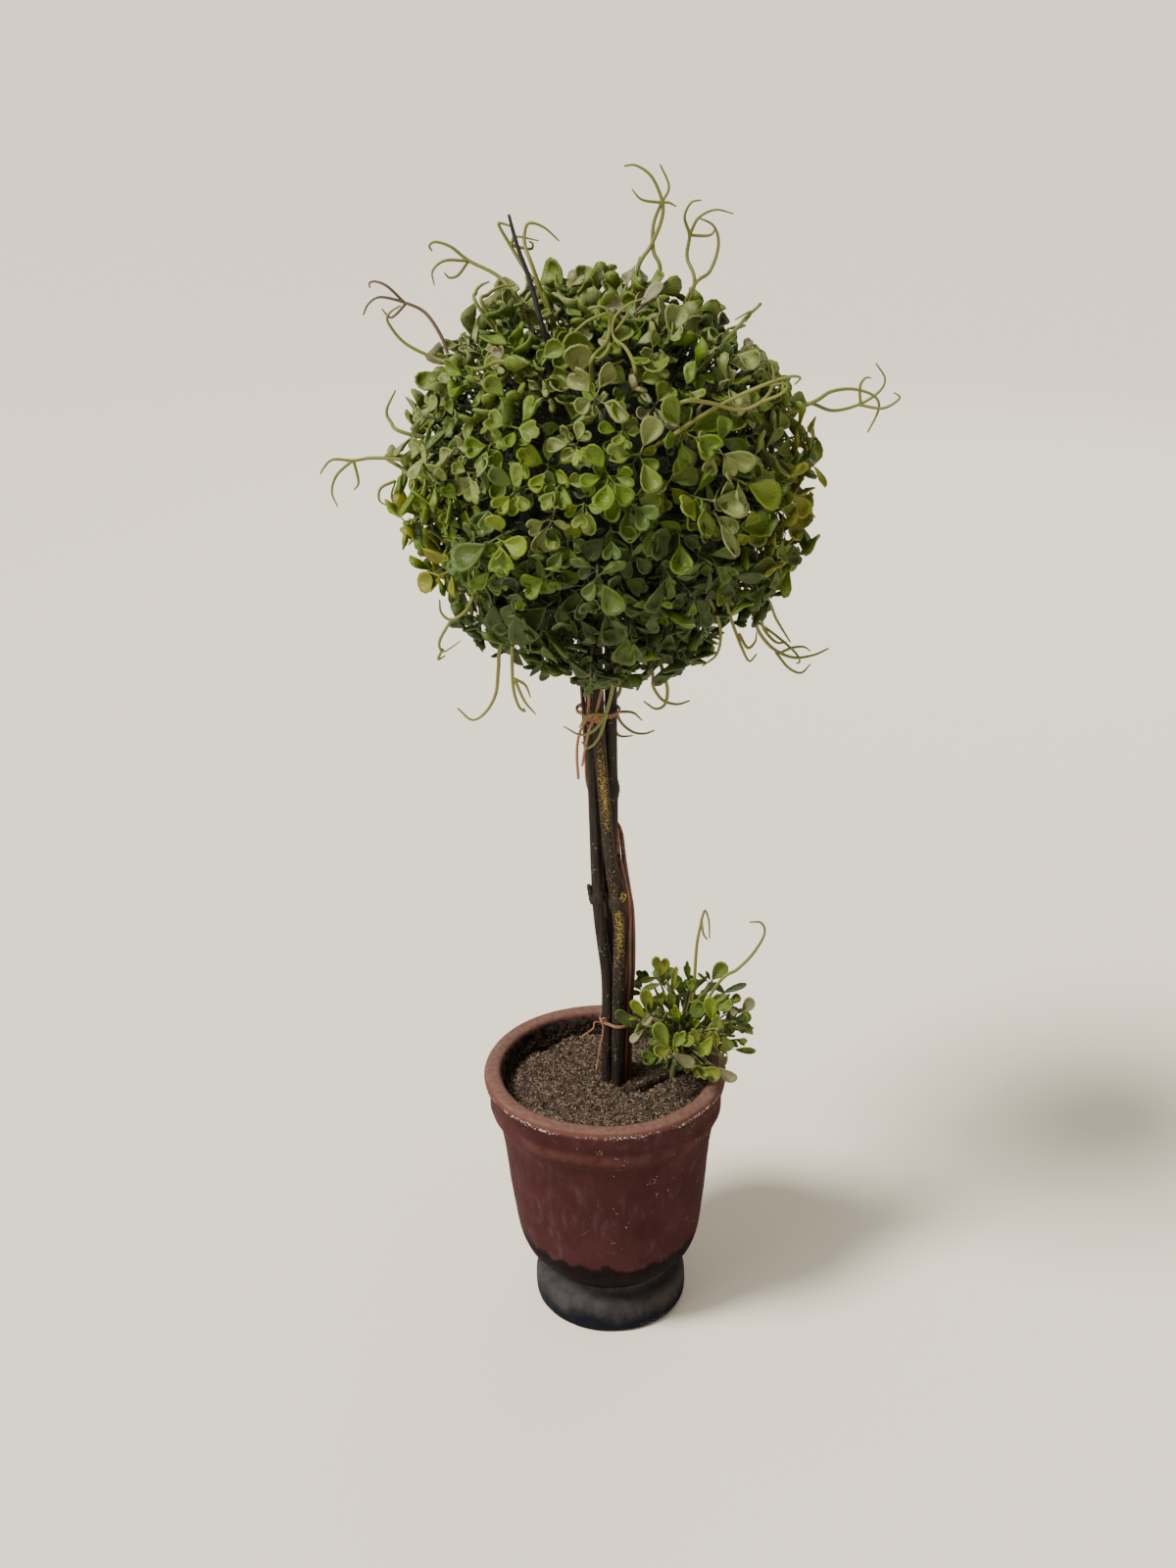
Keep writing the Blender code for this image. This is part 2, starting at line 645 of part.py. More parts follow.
def clump_twig(number, chance):
    """The clump's rule: a twig that leans out from the crown, with leaves in pairs and one at
    its end. Gives the same as sprig().
    """
    tilt = math.acos(1 - 0.92 * (number + 0.5) / CLUMP_TWIGS)
    turn = math.pi * (3 - math.sqrt(5)) * number + chance.uniform(-0.3, 0.3)
    way = Vector((math.sin(tilt) * math.cos(turn), math.sin(tilt) * math.sin(turn), math.cos(tilt)))
    way = (way + CLUMP_LEAN).normalized()
    start = CLUMP_CROWN.lerp(CLUMP_FOOT, 0.30 * number / CLUMP_TWIGS)
    end = start + way * CLUMP_REACH * chance.uniform(0.85, 1.1)
    side = way.cross(Vector((0, 0, 1))).normalized()
    over = side.cross(way).normalized()
    leaves = []
    for share, sides in ((0.52, (-1, 1)), (0.80, (-1, 1)), (0.98, (0,))):
        for hand in sides:
            roll = chance.uniform(-0.7, 0.7)
            out = (side * math.cos(roll) + over * math.sin(roll)) * hand
            axis = (way * 0.75 + out + Vector((0, 0, 0.15))).normalized()
            face = (over + way * 0.3 + out * chance.uniform(-0.3, 0.3)).normalized()
            scale = chance.uniform(0.85, 1.15)
            root = start.lerp(end, share + 0.05 * hand) - axis * LEAF_SUNK
            leaves.append((root, axis, face,
                           CLUMP_LEAF * scale, CLUMP_WIDTH * scale))
    return start, end, leaves


def bend_line(points, count):
    """A smooth curve through a few points, as count + 1 places."""
    tables = [[(index, point.x, point.y) for index, point in enumerate(points)],
              [(index, point.z, 0.0) for index, point in enumerate(points)]]
    line = []
    for step in range(count + 1):
        share = step * (len(points) - 1) / count
        x, y = track(tables[0], share)
        z, _ = track(tables[1], share)
        line.append(Vector((x, y, z)))
    return line


def tendril_lines(entry, anchor, centre, turn=0.0):
    """A tendril as lists of points: the stem, which runs on into the first of its curled
    prongs, and then the other prongs.

    The anchor is where the stem starts, inside what it grows from; None is the ball's core.
    """
    root_y, tip_y, stem, tips = entry
    middle_y = root_y + (tip_y - root_y) * 0.6
    rotate = Matrix.Rotation(math.radians(turn), 3, "Z")
    places = [mm(x, y, z) for (x, z), y in zip(stem, (root_y, middle_y, tip_y))]
    if anchor is None:
        anchor = places[0].normalized() * (CORE_RADIUS - ROOT_DEPTH)
    stem_line = bend_line([anchor] + places, 5)
    ahead = (stem_line[-1] - stem_line[-2]).normalized()
    lines = []
    for number, (x, z) in enumerate(tips):
        tip = mm(x, tip_y + (number % 3 - 1) * 3.0, z)
        crown = places[-1]
        knee = crown + ahead * (tip - crown).length * 0.55
        curl = [crown - ahead * 0.0012]
        for share in (0.36, 0.7, 1.0):
            curl.append(crown.lerp(knee, share).lerp(knee.lerp(tip, share), share))
        lines.append(curl if number else stem_line + curl[1:])
    return [[centre + rotate @ point for point in line] for line in lines]


def triangle_profile():
    """A three-sided ring that thin twigs are swept along."""
    curve = bpy.data.curves.new("triangle", "CURVE")
    line = curve.splines.new("POLY")
    line.points.add(2)
    line.use_cyclic_u = True
    for index, spot in enumerate(line.points):
        turn = 2 * math.pi * index / 3
        spot.co = (math.cos(turn), math.sin(turn), 0.0, 1.0)
    ring = bpy.data.objects.new("triangle", curve)
    bpy.context.scene.collection.objects.link(ring)
    ring.hide_render = True
    ring.display_type = "WIRE"
    return ring


def swept(name, points, radii, profile, collection):
    """A thin three-sided twig through the points."""
    curve = bpy.data.curves.new(name, "CURVE")
    curve.dimensions = "3D"
    curve.bevel_mode = "OBJECT"
    curve.bevel_object = profile
    curve.use_fill_caps = True
    line = curve.splines.new("POLY")
    line.points.add(len(points) - 1)
    for spot, point, radius in zip(line.points, points, radii):
        spot.co = (*point, 1.0)
        spot.radius = radius
    guide = bpy.data.objects.new(name + "_guide", curve)
    bpy.context.scene.collection.objects.link(guide)
    mesh = evaluated_mesh(guide)
    bpy.data.objects.remove(guide)
    weld(mesh)
    return add_object(name, mesh, collection)


def add_tendril(lines, profile, collection):
    for line in lines:
        whole = len(line) - 1
        radii = [TENDRIL_RADIUS * (1.25 - 0.5 * step / whole) for step in range(len(line))]
        swept("tendril", line, radii, profile, collection)


def grow(twigs, blocked, radius, collection):
    """Every twig that keeps to its own space, and its leaves where they have room."""
    leaf = leaf_mesh()
    bellies = []
    for start, end, leaves in twigs:
        if any(blocked(start.lerp(end, share)) for share in (0.0, 0.5, 1.0)):
            continue
        add_twig(collection, start, end + (end - start).normalized() * 0.001, radius)
        for spec in leaves:
            points = leaf_points(*spec)
            crowded = any((points[1] - belly).length < LEAF_ROOM * spec[3] for belly in bellies)
            if crowded or any(blocked(point) for point in points):
                continue
            bellies.append(points[1])
            add_leaf(leaf, collection, *spec)
    return len(bellies)


def build_ball(collection, profile):
    """The clipped ball: a core clear of the canes, with every sprig and tendril fused on."""
    bm = bmesh.new()
    bmesh.ops.create_icosphere(bm, subdivisions=2, radius=CORE_RADIUS)
    bmesh.ops.translate(bm, verts=bm.verts, vec=BALL_CENTRE)
    mesh = bpy.data.meshes.new("ball_foliage")
    bm.to_mesh(mesh)
    bm.free()
    ball = add_object("ball_foliage", mesh, collection, "leaf")
    hole = new_collection("cane_holes")
    for name in CANES:
        line, radii = cane_line(name, SOCKET_EASE, 340, CANE_TOP * 1000 + 0.4, 3)
        tube(name + "_hole", line, radii, hole, resolution=1)
    foot, tip = stick_ends()
    deep = foot - (tip - foot).normalized() * GAP
    tube("stick_hole", [deep, foot.lerp(tip, 0.4)], [STICK_RADIUS + SOCKET_EASE] * 2, hole, resolution=1)
    combine(ball, hole, "DIFFERENCE")

    chance = random.Random(SEED)
    greenery = new_collection("greenery")
    sprigs = [sprig(way, chance) for way in sphere_directions(SPRIG_COUNT, chance)]
    count = grow(sprigs, lambda point: near_trunk(point) or near_stick(point), SPRIG_RADIUS, greenery)
    for entry in TENDRILS:
        add_tendril(tendril_lines(entry, None, BALL_CENTRE), profile, greenery)
    for index, turn in BACK_TURNS:
        add_tendril(tendril_lines(TENDRILS[index], None, BALL_CENTRE, turn), profile, greenery)
    combine(ball, greenery, "UNION")
    keep_main_body(ball)
    ball.data.materials.clear()
    ball.data.materials.append(finish_material("leaf"))
    return count


def build_clump(collection, profile):
    """The small clump beside the trunk: one stem in the filler that branches into leafy twigs."""
    foot = CLUMP_FOOT - Vector((0, 0, CLUMP_SUNK))
    clump = tube("clump_foliage", [foot, CLUMP_FOOT, CLUMP_CROWN], [CLUMP_STEM] * 2 + [0.0016],
                 collection, "leaf", 1)
    chance = random.Random(SEED + 1)
    greenery = new_collection("clump_greenery")
    twigs = [clump_twig(number, chance) for number in range(CLUMP_TWIGS)]
    count = grow(twigs, lambda point: near_pot(point) or near_trunk(point), CLUMP_TWIG_RADIUS, greenery)
    for entry in CLUMP_TENDRILS:
        add_tendril(tendril_lines(entry, CLUMP_CROWN, Vector()), profile, greenery)
    combine(clump, greenery, "UNION")
    keep_main_body(clump)
    clump.data.materials.clear()
    clump.data.materials.append(finish_material("leaf"))
    return count


def main():
    clear_scene()
    topiary = new_collection("potted_ball_topiary")
    profile = triangle_profile()
    build_pot(topiary)
    build_fill(topiary)
    build_canes(topiary)
    build_strands(topiary)
    build_ties(topiary)
    build_stick(topiary)
    leaves = build_ball(topiary, profile), build_clump(topiary, profile)
    bpy.data.objects.remove(profile)
    print("leaves", leaves)


main()
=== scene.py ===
"""Looks of the potted ball topiary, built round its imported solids.

Metres, +Z up, in the solids' own frame: the origin is the middle of the pot's flat underside and
-Y is the front. Lists of places are in millimetres.
"""

import functools
import math
import random
from types import SimpleNamespace

import bpy
import numpy as np
from mathutils import Matrix, Vector, noise


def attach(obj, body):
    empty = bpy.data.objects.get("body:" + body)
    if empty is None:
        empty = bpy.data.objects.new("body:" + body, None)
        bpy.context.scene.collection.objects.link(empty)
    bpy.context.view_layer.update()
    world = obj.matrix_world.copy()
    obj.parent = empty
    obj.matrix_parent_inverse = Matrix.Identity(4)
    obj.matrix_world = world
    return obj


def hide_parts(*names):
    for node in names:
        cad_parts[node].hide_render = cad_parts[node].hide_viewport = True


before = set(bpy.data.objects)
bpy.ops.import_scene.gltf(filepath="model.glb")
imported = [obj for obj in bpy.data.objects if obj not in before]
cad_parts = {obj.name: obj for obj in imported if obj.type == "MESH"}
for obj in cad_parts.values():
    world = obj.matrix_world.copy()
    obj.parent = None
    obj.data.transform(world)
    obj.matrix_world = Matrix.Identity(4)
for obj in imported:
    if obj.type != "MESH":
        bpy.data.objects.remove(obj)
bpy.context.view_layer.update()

# Sizes of the solids
POT_HEIGHT = 0.1285
RIM_RADIUS = 0.0573
MOUTH_RADIUS = 0.0493
POT_LEAN = -0.017
FILL_TOP = 0.1195

BALL_CENTRE = Vector((0.0, 0.0, 0.412))
BALL_RADIUS = 0.087
BALL_SQUASH = 0.995
CORE_RADIUS = 0.066
ROOT_DEPTH = 0.007
TRUNK_CLEAR = 0.0135
BUNDLE_MIDDLE = -0.003
DROOP = 0.34
SEED = 11

CLUMP_FOOT = Vector((0.030, 0.006, FILL_TOP))
CLUMP_CROWN = Vector((0.034, 0.003, FILL_TOP + 0.018))
CLUMP_STEM = 0.0022
CLUMP_SUNK = Vector((0, 0, 0.008))
CLUMP_REACH = 0.0305
CLUMP_LEAN = Vector((0.12, -0.05, 0.24))

# Finer growth
INNER_CORE = 0.054
SPRAYS = 370
SPRAY_LEAVES = 6
LOW_LEAVES = 4
CLUMP_SPRAYS = 24
THICKET_STEMS = 900
THICKET_REACH = (0.064, 0.078)
GOLDEN = math.pi * (3 - math.sqrt(5))

# Canes: radius and the height of the knot, then height, x and y along the middle line
CANES = {
    "cane_left": (2.6, 218, (
        (92, -1.1, 1.1), (125, -1.1, 1.1), (165, -0.9, 0.9), (178, -1.3, 0.8), (194, -3.1, 0.7),
        (206, -4.4, 0.6), (222, -5.3, 0.6), (250, -6.0, 0.9), (295, -6.8, 1.3), (398, -8.2, 1.6))),
    "cane_front": (2.7, 216, (
        (92, 3.4, -3.1), (125, 3.5, -3.1), (155, 3.9, -3.0), (196, 4.7, -2.9), (206, 4.7, -2.9),
        (226, 2.1, -3.1), (246, -0.2, -3.5), (265, -1.6, -3.7), (303, -4.0, -4.2), (398, -5.4, -4.8))),
    "cane_back": (2.85, 270, (
        (92, 2.4, 6.7), (128, 2.3, 6.7), (171, 1.2, 6.8), (192, 0.3, 6.6), (212, -1.0, 6.4),
        (224, -0.9, 5.8), (237, 0.3, 4.7), (250, 1.5, 3.4), (280, 1.5, 1.9), (300, 1.4, 1.2),
        (350, 1.5, 1.0), (398, 1.4, 1.0))),
}

# Vine strands, all red-brown: radius, then height, x and y
VINES = {
    "vine_strand_1": (1.05, (
        (96, 9.4, 1.2), (124, 9.4, 1.2), (152, 9.6, 1.4), (182, 11.2, 1.2), (208, 10.8, 1.8),
        (222, 9.0, 2.2), (236, 6.9, 3.2), (248, 5.0, 7.4), (256, -1.0, 8.6), (264, -6.5, 6.8),
        (272, -9.0, 4.8), (284, -9.5, 4.3), (296, -10.0, 4.0), (310, -10.7, 3.5), (326, -11.6, 3.0))),
    "vine_strand_2": (0.95, (
        (96, 7.6, 4.2), (124, 7.6, 4.2), (152, 8.2, 4.3), (182, 9.6, 4.1), (208, 8.0, 4.8),
        (226, 7.5, 6.2), (238, 6.7, 8.0), (246, 3.6, 10.2))),
    "vine_strand_3": (0.85, (
        (96, 7.4, -1.2), (124, 7.4, -1.2), (152, 8.2, -1.3), (176, 9.4, -1.4), (196, 9.3, -1.2),
        (212, 9.3, -1.1), (226, 7.2, -0.6), (238, 4.8, 0.4))),
}

# Copper twine that hangs from the ball under the upper tie, in the same form
HANGERS = {
    "twine_end_1": (0.75, (
        (277, -13.2, -2.4), (291, -13.6, -3.2), (300, -12.2, -4.4), (309, -8.6, -5.4), (330, -8.0, -8.2))),
    "twine_end_2": (0.65, (
        (284, -11.4, -4.4), (293, -10.0, -5.4), (303, -8.0, -7.4), (309, -5.6, -8.2), (324, -2.0, -8.8))),
}

# Dark inner strands that close the gaps between the canes
INNER_STRANDS = (
    (1.3, (
        (110, 5.2, 1.5), (124, 5.3, 1.4), (150, 6.2, 1.2), (170, 7.8, 1.2), (198, 8.3, 1.3),
        (212, 7.3, 1.6), (226, 4.8, 2.2), (236, 4.3, 2.4), (246, 3.6, 3.4), (254, 2.6, 4.4))),
    (1.0, (
        (205, -1.8, 3.0), (225, -3.2, 2.7), (240, -3.2, 2.7), (262, -3.8, 2.2), (290, -4.6, 1.9),
        (306, -5.0, 1.8))),
)

# Ties: their heights, and the lower one's loose ends
LOWER_TIE = 153
UPPER_TIE = 309
TWINE_RADIUS = 0.7
TWINE_TURNS = 420
TWINE_SIDES = 7
LOOSE_ENDS = ((-12.8, -9.5, 150), (-6.4, -9.0, 131))

# The black stick in the top of the ball, in mm from the ball's centre
STICK_FOOT = (-18, -30, 46)
STICK_TIP = (-37, -24, 110)
STICK_RADIUS = 0.0010
STICK_CLEAR = 0.0022

# Tendrils: how wide their stems and prongs are, how much they thin, how far apart their prongs lie
# in depth, and the share of its way by which a route is as far forward as its tip
TENDRIL_RADIUS = 0.0008
STEM_WIDTH, PRONG_WIDTH = 1.1, 0.85
TENDRIL_TAPER = 0.58
PRONG_DEPTH = 2.0
FULL_DEPTH = 0.45
# In mm from the ball's centre: y at the root and at the tips, then stems that rise from inside the
# ball and prongs that leave them, each a run of x and z
TENDRILS = (
    (-6, -2, (
        (12.5, 85, 18, 94.5, 22, 103.5, 22.5, 110.5, 18.5, 120, 12.5, 124.5, 7.5, 124.5),
        (21.5, 83.5, 19, 92.5, 19, 102, 22, 110, 25, 116.5, 21.5, 125)), (
        (22.5, 110.5, 14.5, 112, 10.5, 116), (22.5, 110.5, 25, 110.5, 28, 109))),
    (-4, 4, (
        (35, 78, 32.5, 89, 33.5, 97, 31.5, 104, 34, 109.5, 38, 110.5),
        (34.5, 78, 41.5, 83.5, 45, 93, 43, 100.5, 36.5, 104)), (
        (33.5, 97, 37, 104, 43.5, 107, 50.5, 105.5), (33.5, 97, 41.5, 97, 44, 100))),
    (-8, 0, (
        (-24, 76, -32, 86, -37, 94, -41.5, 102, -40.5, 103, -36, 101.5),
        (-28, 86, -31.5, 95, -31, 101.5, -28.5, 103, -23.5, 101, -18, 96)), (
        (-37, 94, -35, 98, -26, 96.5), (-37, 94.5, -29.5, 93, -28.5, 95, -30, 96))),
    (-4, 4, (
        (-35, 74, -42.5, 82.5, -54, 88, -61, 93.5, -67, 95.5, -69.5, 94, -68.5, 92),), (
        (-54.5, 88, -63.5, 88.5, -68.5, 84.5, -68, 79), (-54.5, 87.5, -58.5, 82.5, -62, 81.5, -64, 83.5))),
    (-14, -8, (
        (-50, 73.5, -51, 78, -49, 80.5, -45.5, 82), (-48, 73.5, -46, 77.5, -41, 80, -35.5, 80.5)), (
        (-46, 73, -42.5, 75),)),
    (-4, 2, (
        (-60.5, 47.5, -66, 59.5, -72, 68, -79.5, 72, -89.5, 74.5, -94.5, 72, -97, 67.5),), (
        (-80.5, 72.5, -86.5, 79, -91, 81, -93.5, 80.5, -93.5, 78.5),
        (-80, 71.5, -84, 67.5, -86.5, 66.5, -89.5, 70))),
    (-44, -8, (
        (-39, 58, -50, 52, -63.5, 51, -79, 57.5, -86, 66, -85.5, 70, -81, 73),), ()),
    (-4, 2, (
        (-82.5, 21, -88, 24.5, -89.5, 29, -85.5, 37),), ()),
    (-6, 0, (
        (-69.5, 5, -83, 9, -96, 9.5, -104, 8.5, -112.5, 9, -116.5, 5.5, -118, 3),), (
        (-104.5, 8.5, -111, 3, -113.5, -4, -111.5, -10.5), (-104, 8.5, -102.5, -0.5, -104.5, -4))),
    (4, -6, (
        (-90, 9.5, -83.5, 4.5, -79, 0, -81.5, -6, -85, -11.5, -88.5, -5.5, -86.5, 1.5),), (
        (-86.5, 1.5, -92.5, -1, -93.5, -6, -90.5, -8.5),)),
    (-2, 2, (
        (77, 28, 83, 30.5, 92.5, 27, 103, 29, 111, 34, 113.5, 39.5, 109.5, 46),
        (82.5, 30.5, 91.5, 35, 101, 35.5, 109.5, 32.5, 111.5, 27, 107.5, 17.5)), (
        (103.5, 29, 113, 28, 119.5, 32, 117, 34.5), (104, 29, 103.5, 36.5, 105.5, 40, 108, 40))),
    (-66, -58, (
        (23.5, 34, 35, 40.5, 46.5, 46, 59, 51.5, 68.5, 54.5, 72.5, 54, 70.5, 51.5),
        (27.5, 47, 37.5, 46, 50, 42, 58.5, 45.5, 62.5, 52.5, 61.5, 61)), (
        (58, 45, 64.5, 48, 67.5, 51, 65.5, 52.5, 61, 51.5),)),
    (-20, -16, (
        (51, 65, 55.5, 69, 60.5, 73.5, 59.5, 73.5),), (
        (54.5, 67, 56.5, 70, 56, 71, 50.5, 68),)),
    (-14, -8, (
        (59.5, -53.5, 64, -64.5, 70.5, -73, 79, -77, 87.5, -76, 94, -73),
        (61.5, -53, 66.5, -64.5, 71.5, -70, 76, -70), (65, -46.5, 71.5, -60, 77.5, -70)), (
        (73, -75, 78, -72, 83, -71.5, 86, -73.5), (71.5, -74.5, 77, -81.5, 82.5, -84, 86.5, -80),
        (61, -59, 72.5, -68.5, 80, -75.5, 82, -79.5, 80.5, -80.5))),
    (-52, -46, (
        (42, -20, 45.5, -34, 50, -48, 54, -58.5, 57, -64, 60, -61),
        (33, -25.5, 40.5, -37, 45, -50, 44, -60.5, 38, -66)), (
        (52.5, -52, 56, -57.5, 59, -55, 59.5, -51),)),
    (-22, -20, (
        (18.5, -77.5, 19, -84.5, 23, -91, 29, -93, 34.5, -91.5),
        (23, -77.5, 25, -86, 24, -93, 20, -95, 15, -91.5)), ()),
    (-26, -17, (
        (0.5, -55, 2.5, -70.5, 2, -85.5, -1, -99, -4, -109, -8.5, -114, -11.5, -111),), (
        (-0.5, -98, -6, -105, -12, -107, -19, -103), (0, -98.5, -8.5, -99, -12.5, -104.5))),
    (16, 15, (
        (6, -96.5, 3.5, -105.5, 5.5, -114.5, 11, -120, 16.5, -121, 21, -119.5),), (
        (3, -110.5, 11, -110, 15.5, -114), (3, -118, 5.5, -122, 11.5, -122))),
    (-22, -18, (
        (-44, -63.5, -46, -76, -47.5, -88, -52, -96.5, -58, -100, -64, -94.5),), ()),
    (-56, -46, (
        (-34.5, -25.5, -37.5, -40.5, -39, -59, -39, -74, -37, -82.5, -34.5, -85, -35, -83.5),), (
        (-38.5, -70.5, -34.5, -79.5, -30, -85.5), (-38.5, -70.5, -34, -73.5, -32, -79))),
    (-46, -40, (
        (-46, -15.5, -52, -31, -57, -42.5, -63.5, -47, -67.5, -44, -68, -38.5),), (
        (-63.5, -47, -68.5, -55.5, -67, -60, -60, -55.5), (-67.5, -59.5, -69.5, -64, -66.5, -62.5))),
    (-57, -43, (
        (10.5, 56.5, 7.5, 63.5, 2.5, 67.5, 3, 74, 8, 79, 14.5, 81.5),
        (-6, 60.5, -0.5, 65.5, 1, 70, 0.5, 76.5, -2.5, 78.5, -7, 77.5)), (
        (0, 76, -7, 73.5, -12.5, 69, -16.5, 66), (3, 69, 5.5, 72, 8, 76.5, 5.5, 80))),
)
# The clump's tendrils in the same form, in mm from the middle of the underside
CLUMP_TENDRILS = (
    (2, 0, (
        (38.5, 157, 40, 189, 41.5, 200.5, 43.5, 209.5, 45.5, 204.5, 46, 195.5),), (
        (42, 205.5, 43, 199, 45, 195.5),)),
    (-2, 0, (
        (50, 172.5, 59, 179.5, 66, 187, 71, 197, 69.5, 203, 64, 203.5),), ()),
)
# Tendrils repeated behind, each turned about the trunk by some degrees, and the brown one
BACK_TURNS = ((8, -64), (10, 74), (11, 134), (13, 122), (14, 170), (18, -130), (20, -160))
BROWN_TENDRILS = (5,)

# Leaf tints, and the share of each by height on the ball: how high the zone starts, as the
# upward part of a spray's direction, then the shares
TINTS = {
    "sage": (0.120, 0.168, 0.018),
    "dusty": (0.178, 0.210, 0.058),
    "mid": (0.094, 0.154, 0.004),
    "fresh": (0.142, 0.196, 0.006),
    "lime": (0.128, 0.150, 0.010),
    "deep": (0.036, 0.062, 0.006),
    "moss": (0.060, 0.098, 0.008),
    "olive": (0.170, 0.176, 0.006),
    "dried": (0.198, 0.188, 0.094),
    "shade": (0.018, 0.030, 0.006),
}
# Darker tints low on the ball are painted shade.
TINT_SHARES = (
    (0.50, {"sage": 0.36, "dusty": 0.34, "mid": 0.12, "moss": 0.08, "dried": 0.10}),
    (0.05, {"mid": 0.32, "fresh": 0.18, "sage": 0.28, "moss": 0.14, "dusty": 0.08}),
    (-0.24, {"mid": 0.34, "fresh": 0.06, "moss": 0.40, "deep": 0.20}),
    (-2.00, {"deep": 0.62, "moss": 0.27, "mid": 0.11}),
)
# SIDE_DROP lets the lighter zones reach lower at the left and right: painted light on the ball's sides.
SIDE_DROP = 0.70
OLIVE_SIDES = 0.74
OLIVE_LEFT = (-0.62, -0.04)
OLIVE_RIGHT = (-0.30, 0.36)
OLIVE_SHARE = 0.32
CLUMP_SHARES = {"fresh": 0.12, "sage": 0.26, "lime": 0.42, "moss": 0.20}

# Leaves of the clump that show in front, in mm: kind, tint, the foot's x, y and z, the tip's x and
# z, and the width. A tip is a little further forward than its foot.
TIP_FORWARD = 2
CLUMP_LEAVES = (
    ("heart", "lime", 24, 4, 173, 24, 185, 8.6), ("oval", "lime", 29, 2, 166, 31, 181, 2.9),
    ("clover", "moss", 37, 6, 170, 36, 181, 3.7), ("spoon", "sage", 48, 8, 169, 54, 179, 7.0),
    ("oval", "deep", 53, 6, 163, 64, 169, 3.3), ("spoon", "dried", 62, 4, 153, 67, 162, 6.0),
    ("heart", "dried", 59, -4, 152, 63, 149, 3.7), ("oval", "sage", 58, -8, 141, 68, 141, 3.3),
    ("spoon", "fresh", 47, -14, 160, 45, 174, 6.2), ("spoon", "lime", 19, -6, 159, 16, 174, 6.2),
    ("spoon", "fresh", 17, -8, 158, 10, 169, 5.0), ("spoon", "deep", 11, -10, 154, 3, 165, 5.8),
    ("spoon", "dried", 16, -12, 155, 9, 149, 4.1), ("oval", "dried", 21, -9, 162, 15, 156, 3.3),
    ("spoon", "sage", 27, -16, 146, 21, 162, 7.4), ("clover", "fresh", 32, -8, 156, 30, 166, 5.0),
    ("clover", "sage", 29, -18, 148, 34, 158, 6.2), ("spoon", "dried", 28, -20, 147, 39, 141, 5.8),
    ("spoon", "dried", 48, -21, 140, 58, 133, 6.2), ("spoon", "sage", 43, -19, 139, 39, 134, 4.1),
    ("oval", "sage", 43, -19, 139, 46, 135, 3.3), ("clover", "sage", 49, -17, 156, 49, 166, 5.4),
    ("clover", "fresh", 47, -20, 156, 41, 146, 6.6), ("spoon", "sage", 52, -16, 154, 55, 146, 5.8),
    ("oval", "moss", 57, -10, 151, 57, 158, 2.9), ("clover", "lime", 40, -19, 151, 38, 160, 5.8),
    ("heart", "fresh", 39, -12, 155, 40, 161, 3.3), ("clover", "moss", 19, 8, 168, 13, 175, 6.2),
    ("spoon", "dried", 28, -19, 145, 23, 143, 3.7), ("spoon", "lime", 23, 4, 173, 14, 172, 3.3),
    ("oval", "moss", 24, -2, 173, 15, 171, 3.3), ("oval", "sage", 29, 4, 165, 33, 172, 2.1),
    ("clover", "sage", 30, -4, 162, 27, 170, 5.0), ("clover", "sage", 38, 2, 166, 38, 174, 4.5),
    ("oval", "moss", 46, 6, 169, 41, 175, 1.7), ("oval", "deep", 47, 6, 170, 45, 176, 1.7),
    ("spoon", "deep", 54, 4, 164, 49, 170, 3.3), ("oval", "sage", 46, 0, 160, 54, 167, 3.3),
    ("heart", "dried", 55, -2, 160, 59, 157, 3.3), ("heart", "lime", 49, -19, 148, 47, 159, 6.2),
    ("clover", "moss", 54, -12, 149, 59, 146, 4.1), ("heart", "dried", 51, -16, 135, 53, 145, 5.4),
    ("spoon", "lime", 59, 1, 151, 66, 155, 5.4), ("clover", "deep", 34, -4, 152, 36, 160, 4.5),
    ("spoon", "moss", 24, -12, 151, 18, 148, 3.7), ("clover", "lime", 37, -2, 157, 41, 163, 4.1),
    ("oval", "deep", 35, -16, 140, 31, 136, 2.9),
)


def mm(*values):
    return Vector([value / 1000 for value in values])


def vec(values):
    return np.array(values, float)


def unit(values):
    values = vec(values)
    return values / np.linalg.norm(values)


def turns(sides):
    return np.arange(sides) * 2 * np.pi / sides


def jitter(chance, far):
    return Vector([chance.uniform(-far, far) for _ in range(3)])


def curve(t, start, end, slope_in, slope_out):
    """A smooth run from start to end at the share t of the way."""
    return ((2 * t**3 - 3 * t**2 + 1) * start + (t**3 - 2 * t**2 + t) * slope_in
            + (3 * t**2 - 2 * t**3) * end + (t**3 - t**2) * slope_out)


def rough_at(point, scale, shift=0.0):
    """Smooth noise from -1 to 1 at a place in metres."""
    return noise.noise(Vector(point) * scale + Vector((shift, shift, shift)))


# Materials


class Value:
    """What a shader node gives, ready for sums."""

    def __init__(self, look, socket):
        self.look = look
        self.socket = socket

    def maths(self, operation, other=0.0):
        return self.look.node("ShaderNodeMath", {0: self, 1: other}, operation=operation)

    def __add__(self, other):
        return self.maths("ADD", other)

    def __sub__(self, other):
        return self.maths("SUBTRACT", other)

    def __mul__(self, other):
        return self.maths("MULTIPLY", other)

    def __or__(self, other):
        """The larger of the two."""
        return self.maths("MAXIMUM", other)

    def span(self, low, high, start=0.0, end=1.0):
        """How far it is from low to high, smoothly, as a number from start to end."""
        ends = {"Value": self, "From Min": low, "From Max": high, "To Min": start, "To Max": end}
        return self.look.node("ShaderNodeMapRange", ends, interpolation_type="SMOOTHSTEP")

    def tint(self, first, second):
        """A colour between two."""
        return self.look.node("ShaderNodeMix", {0: self, 6: first, 7: second}, 2, data_type="RGBA")

    def bump(self, distance, strength, **under):
        return self.look.node("ShaderNodeBump", {"Height": self, "Distance": distance, "Strength": strength,
                                                 **under})


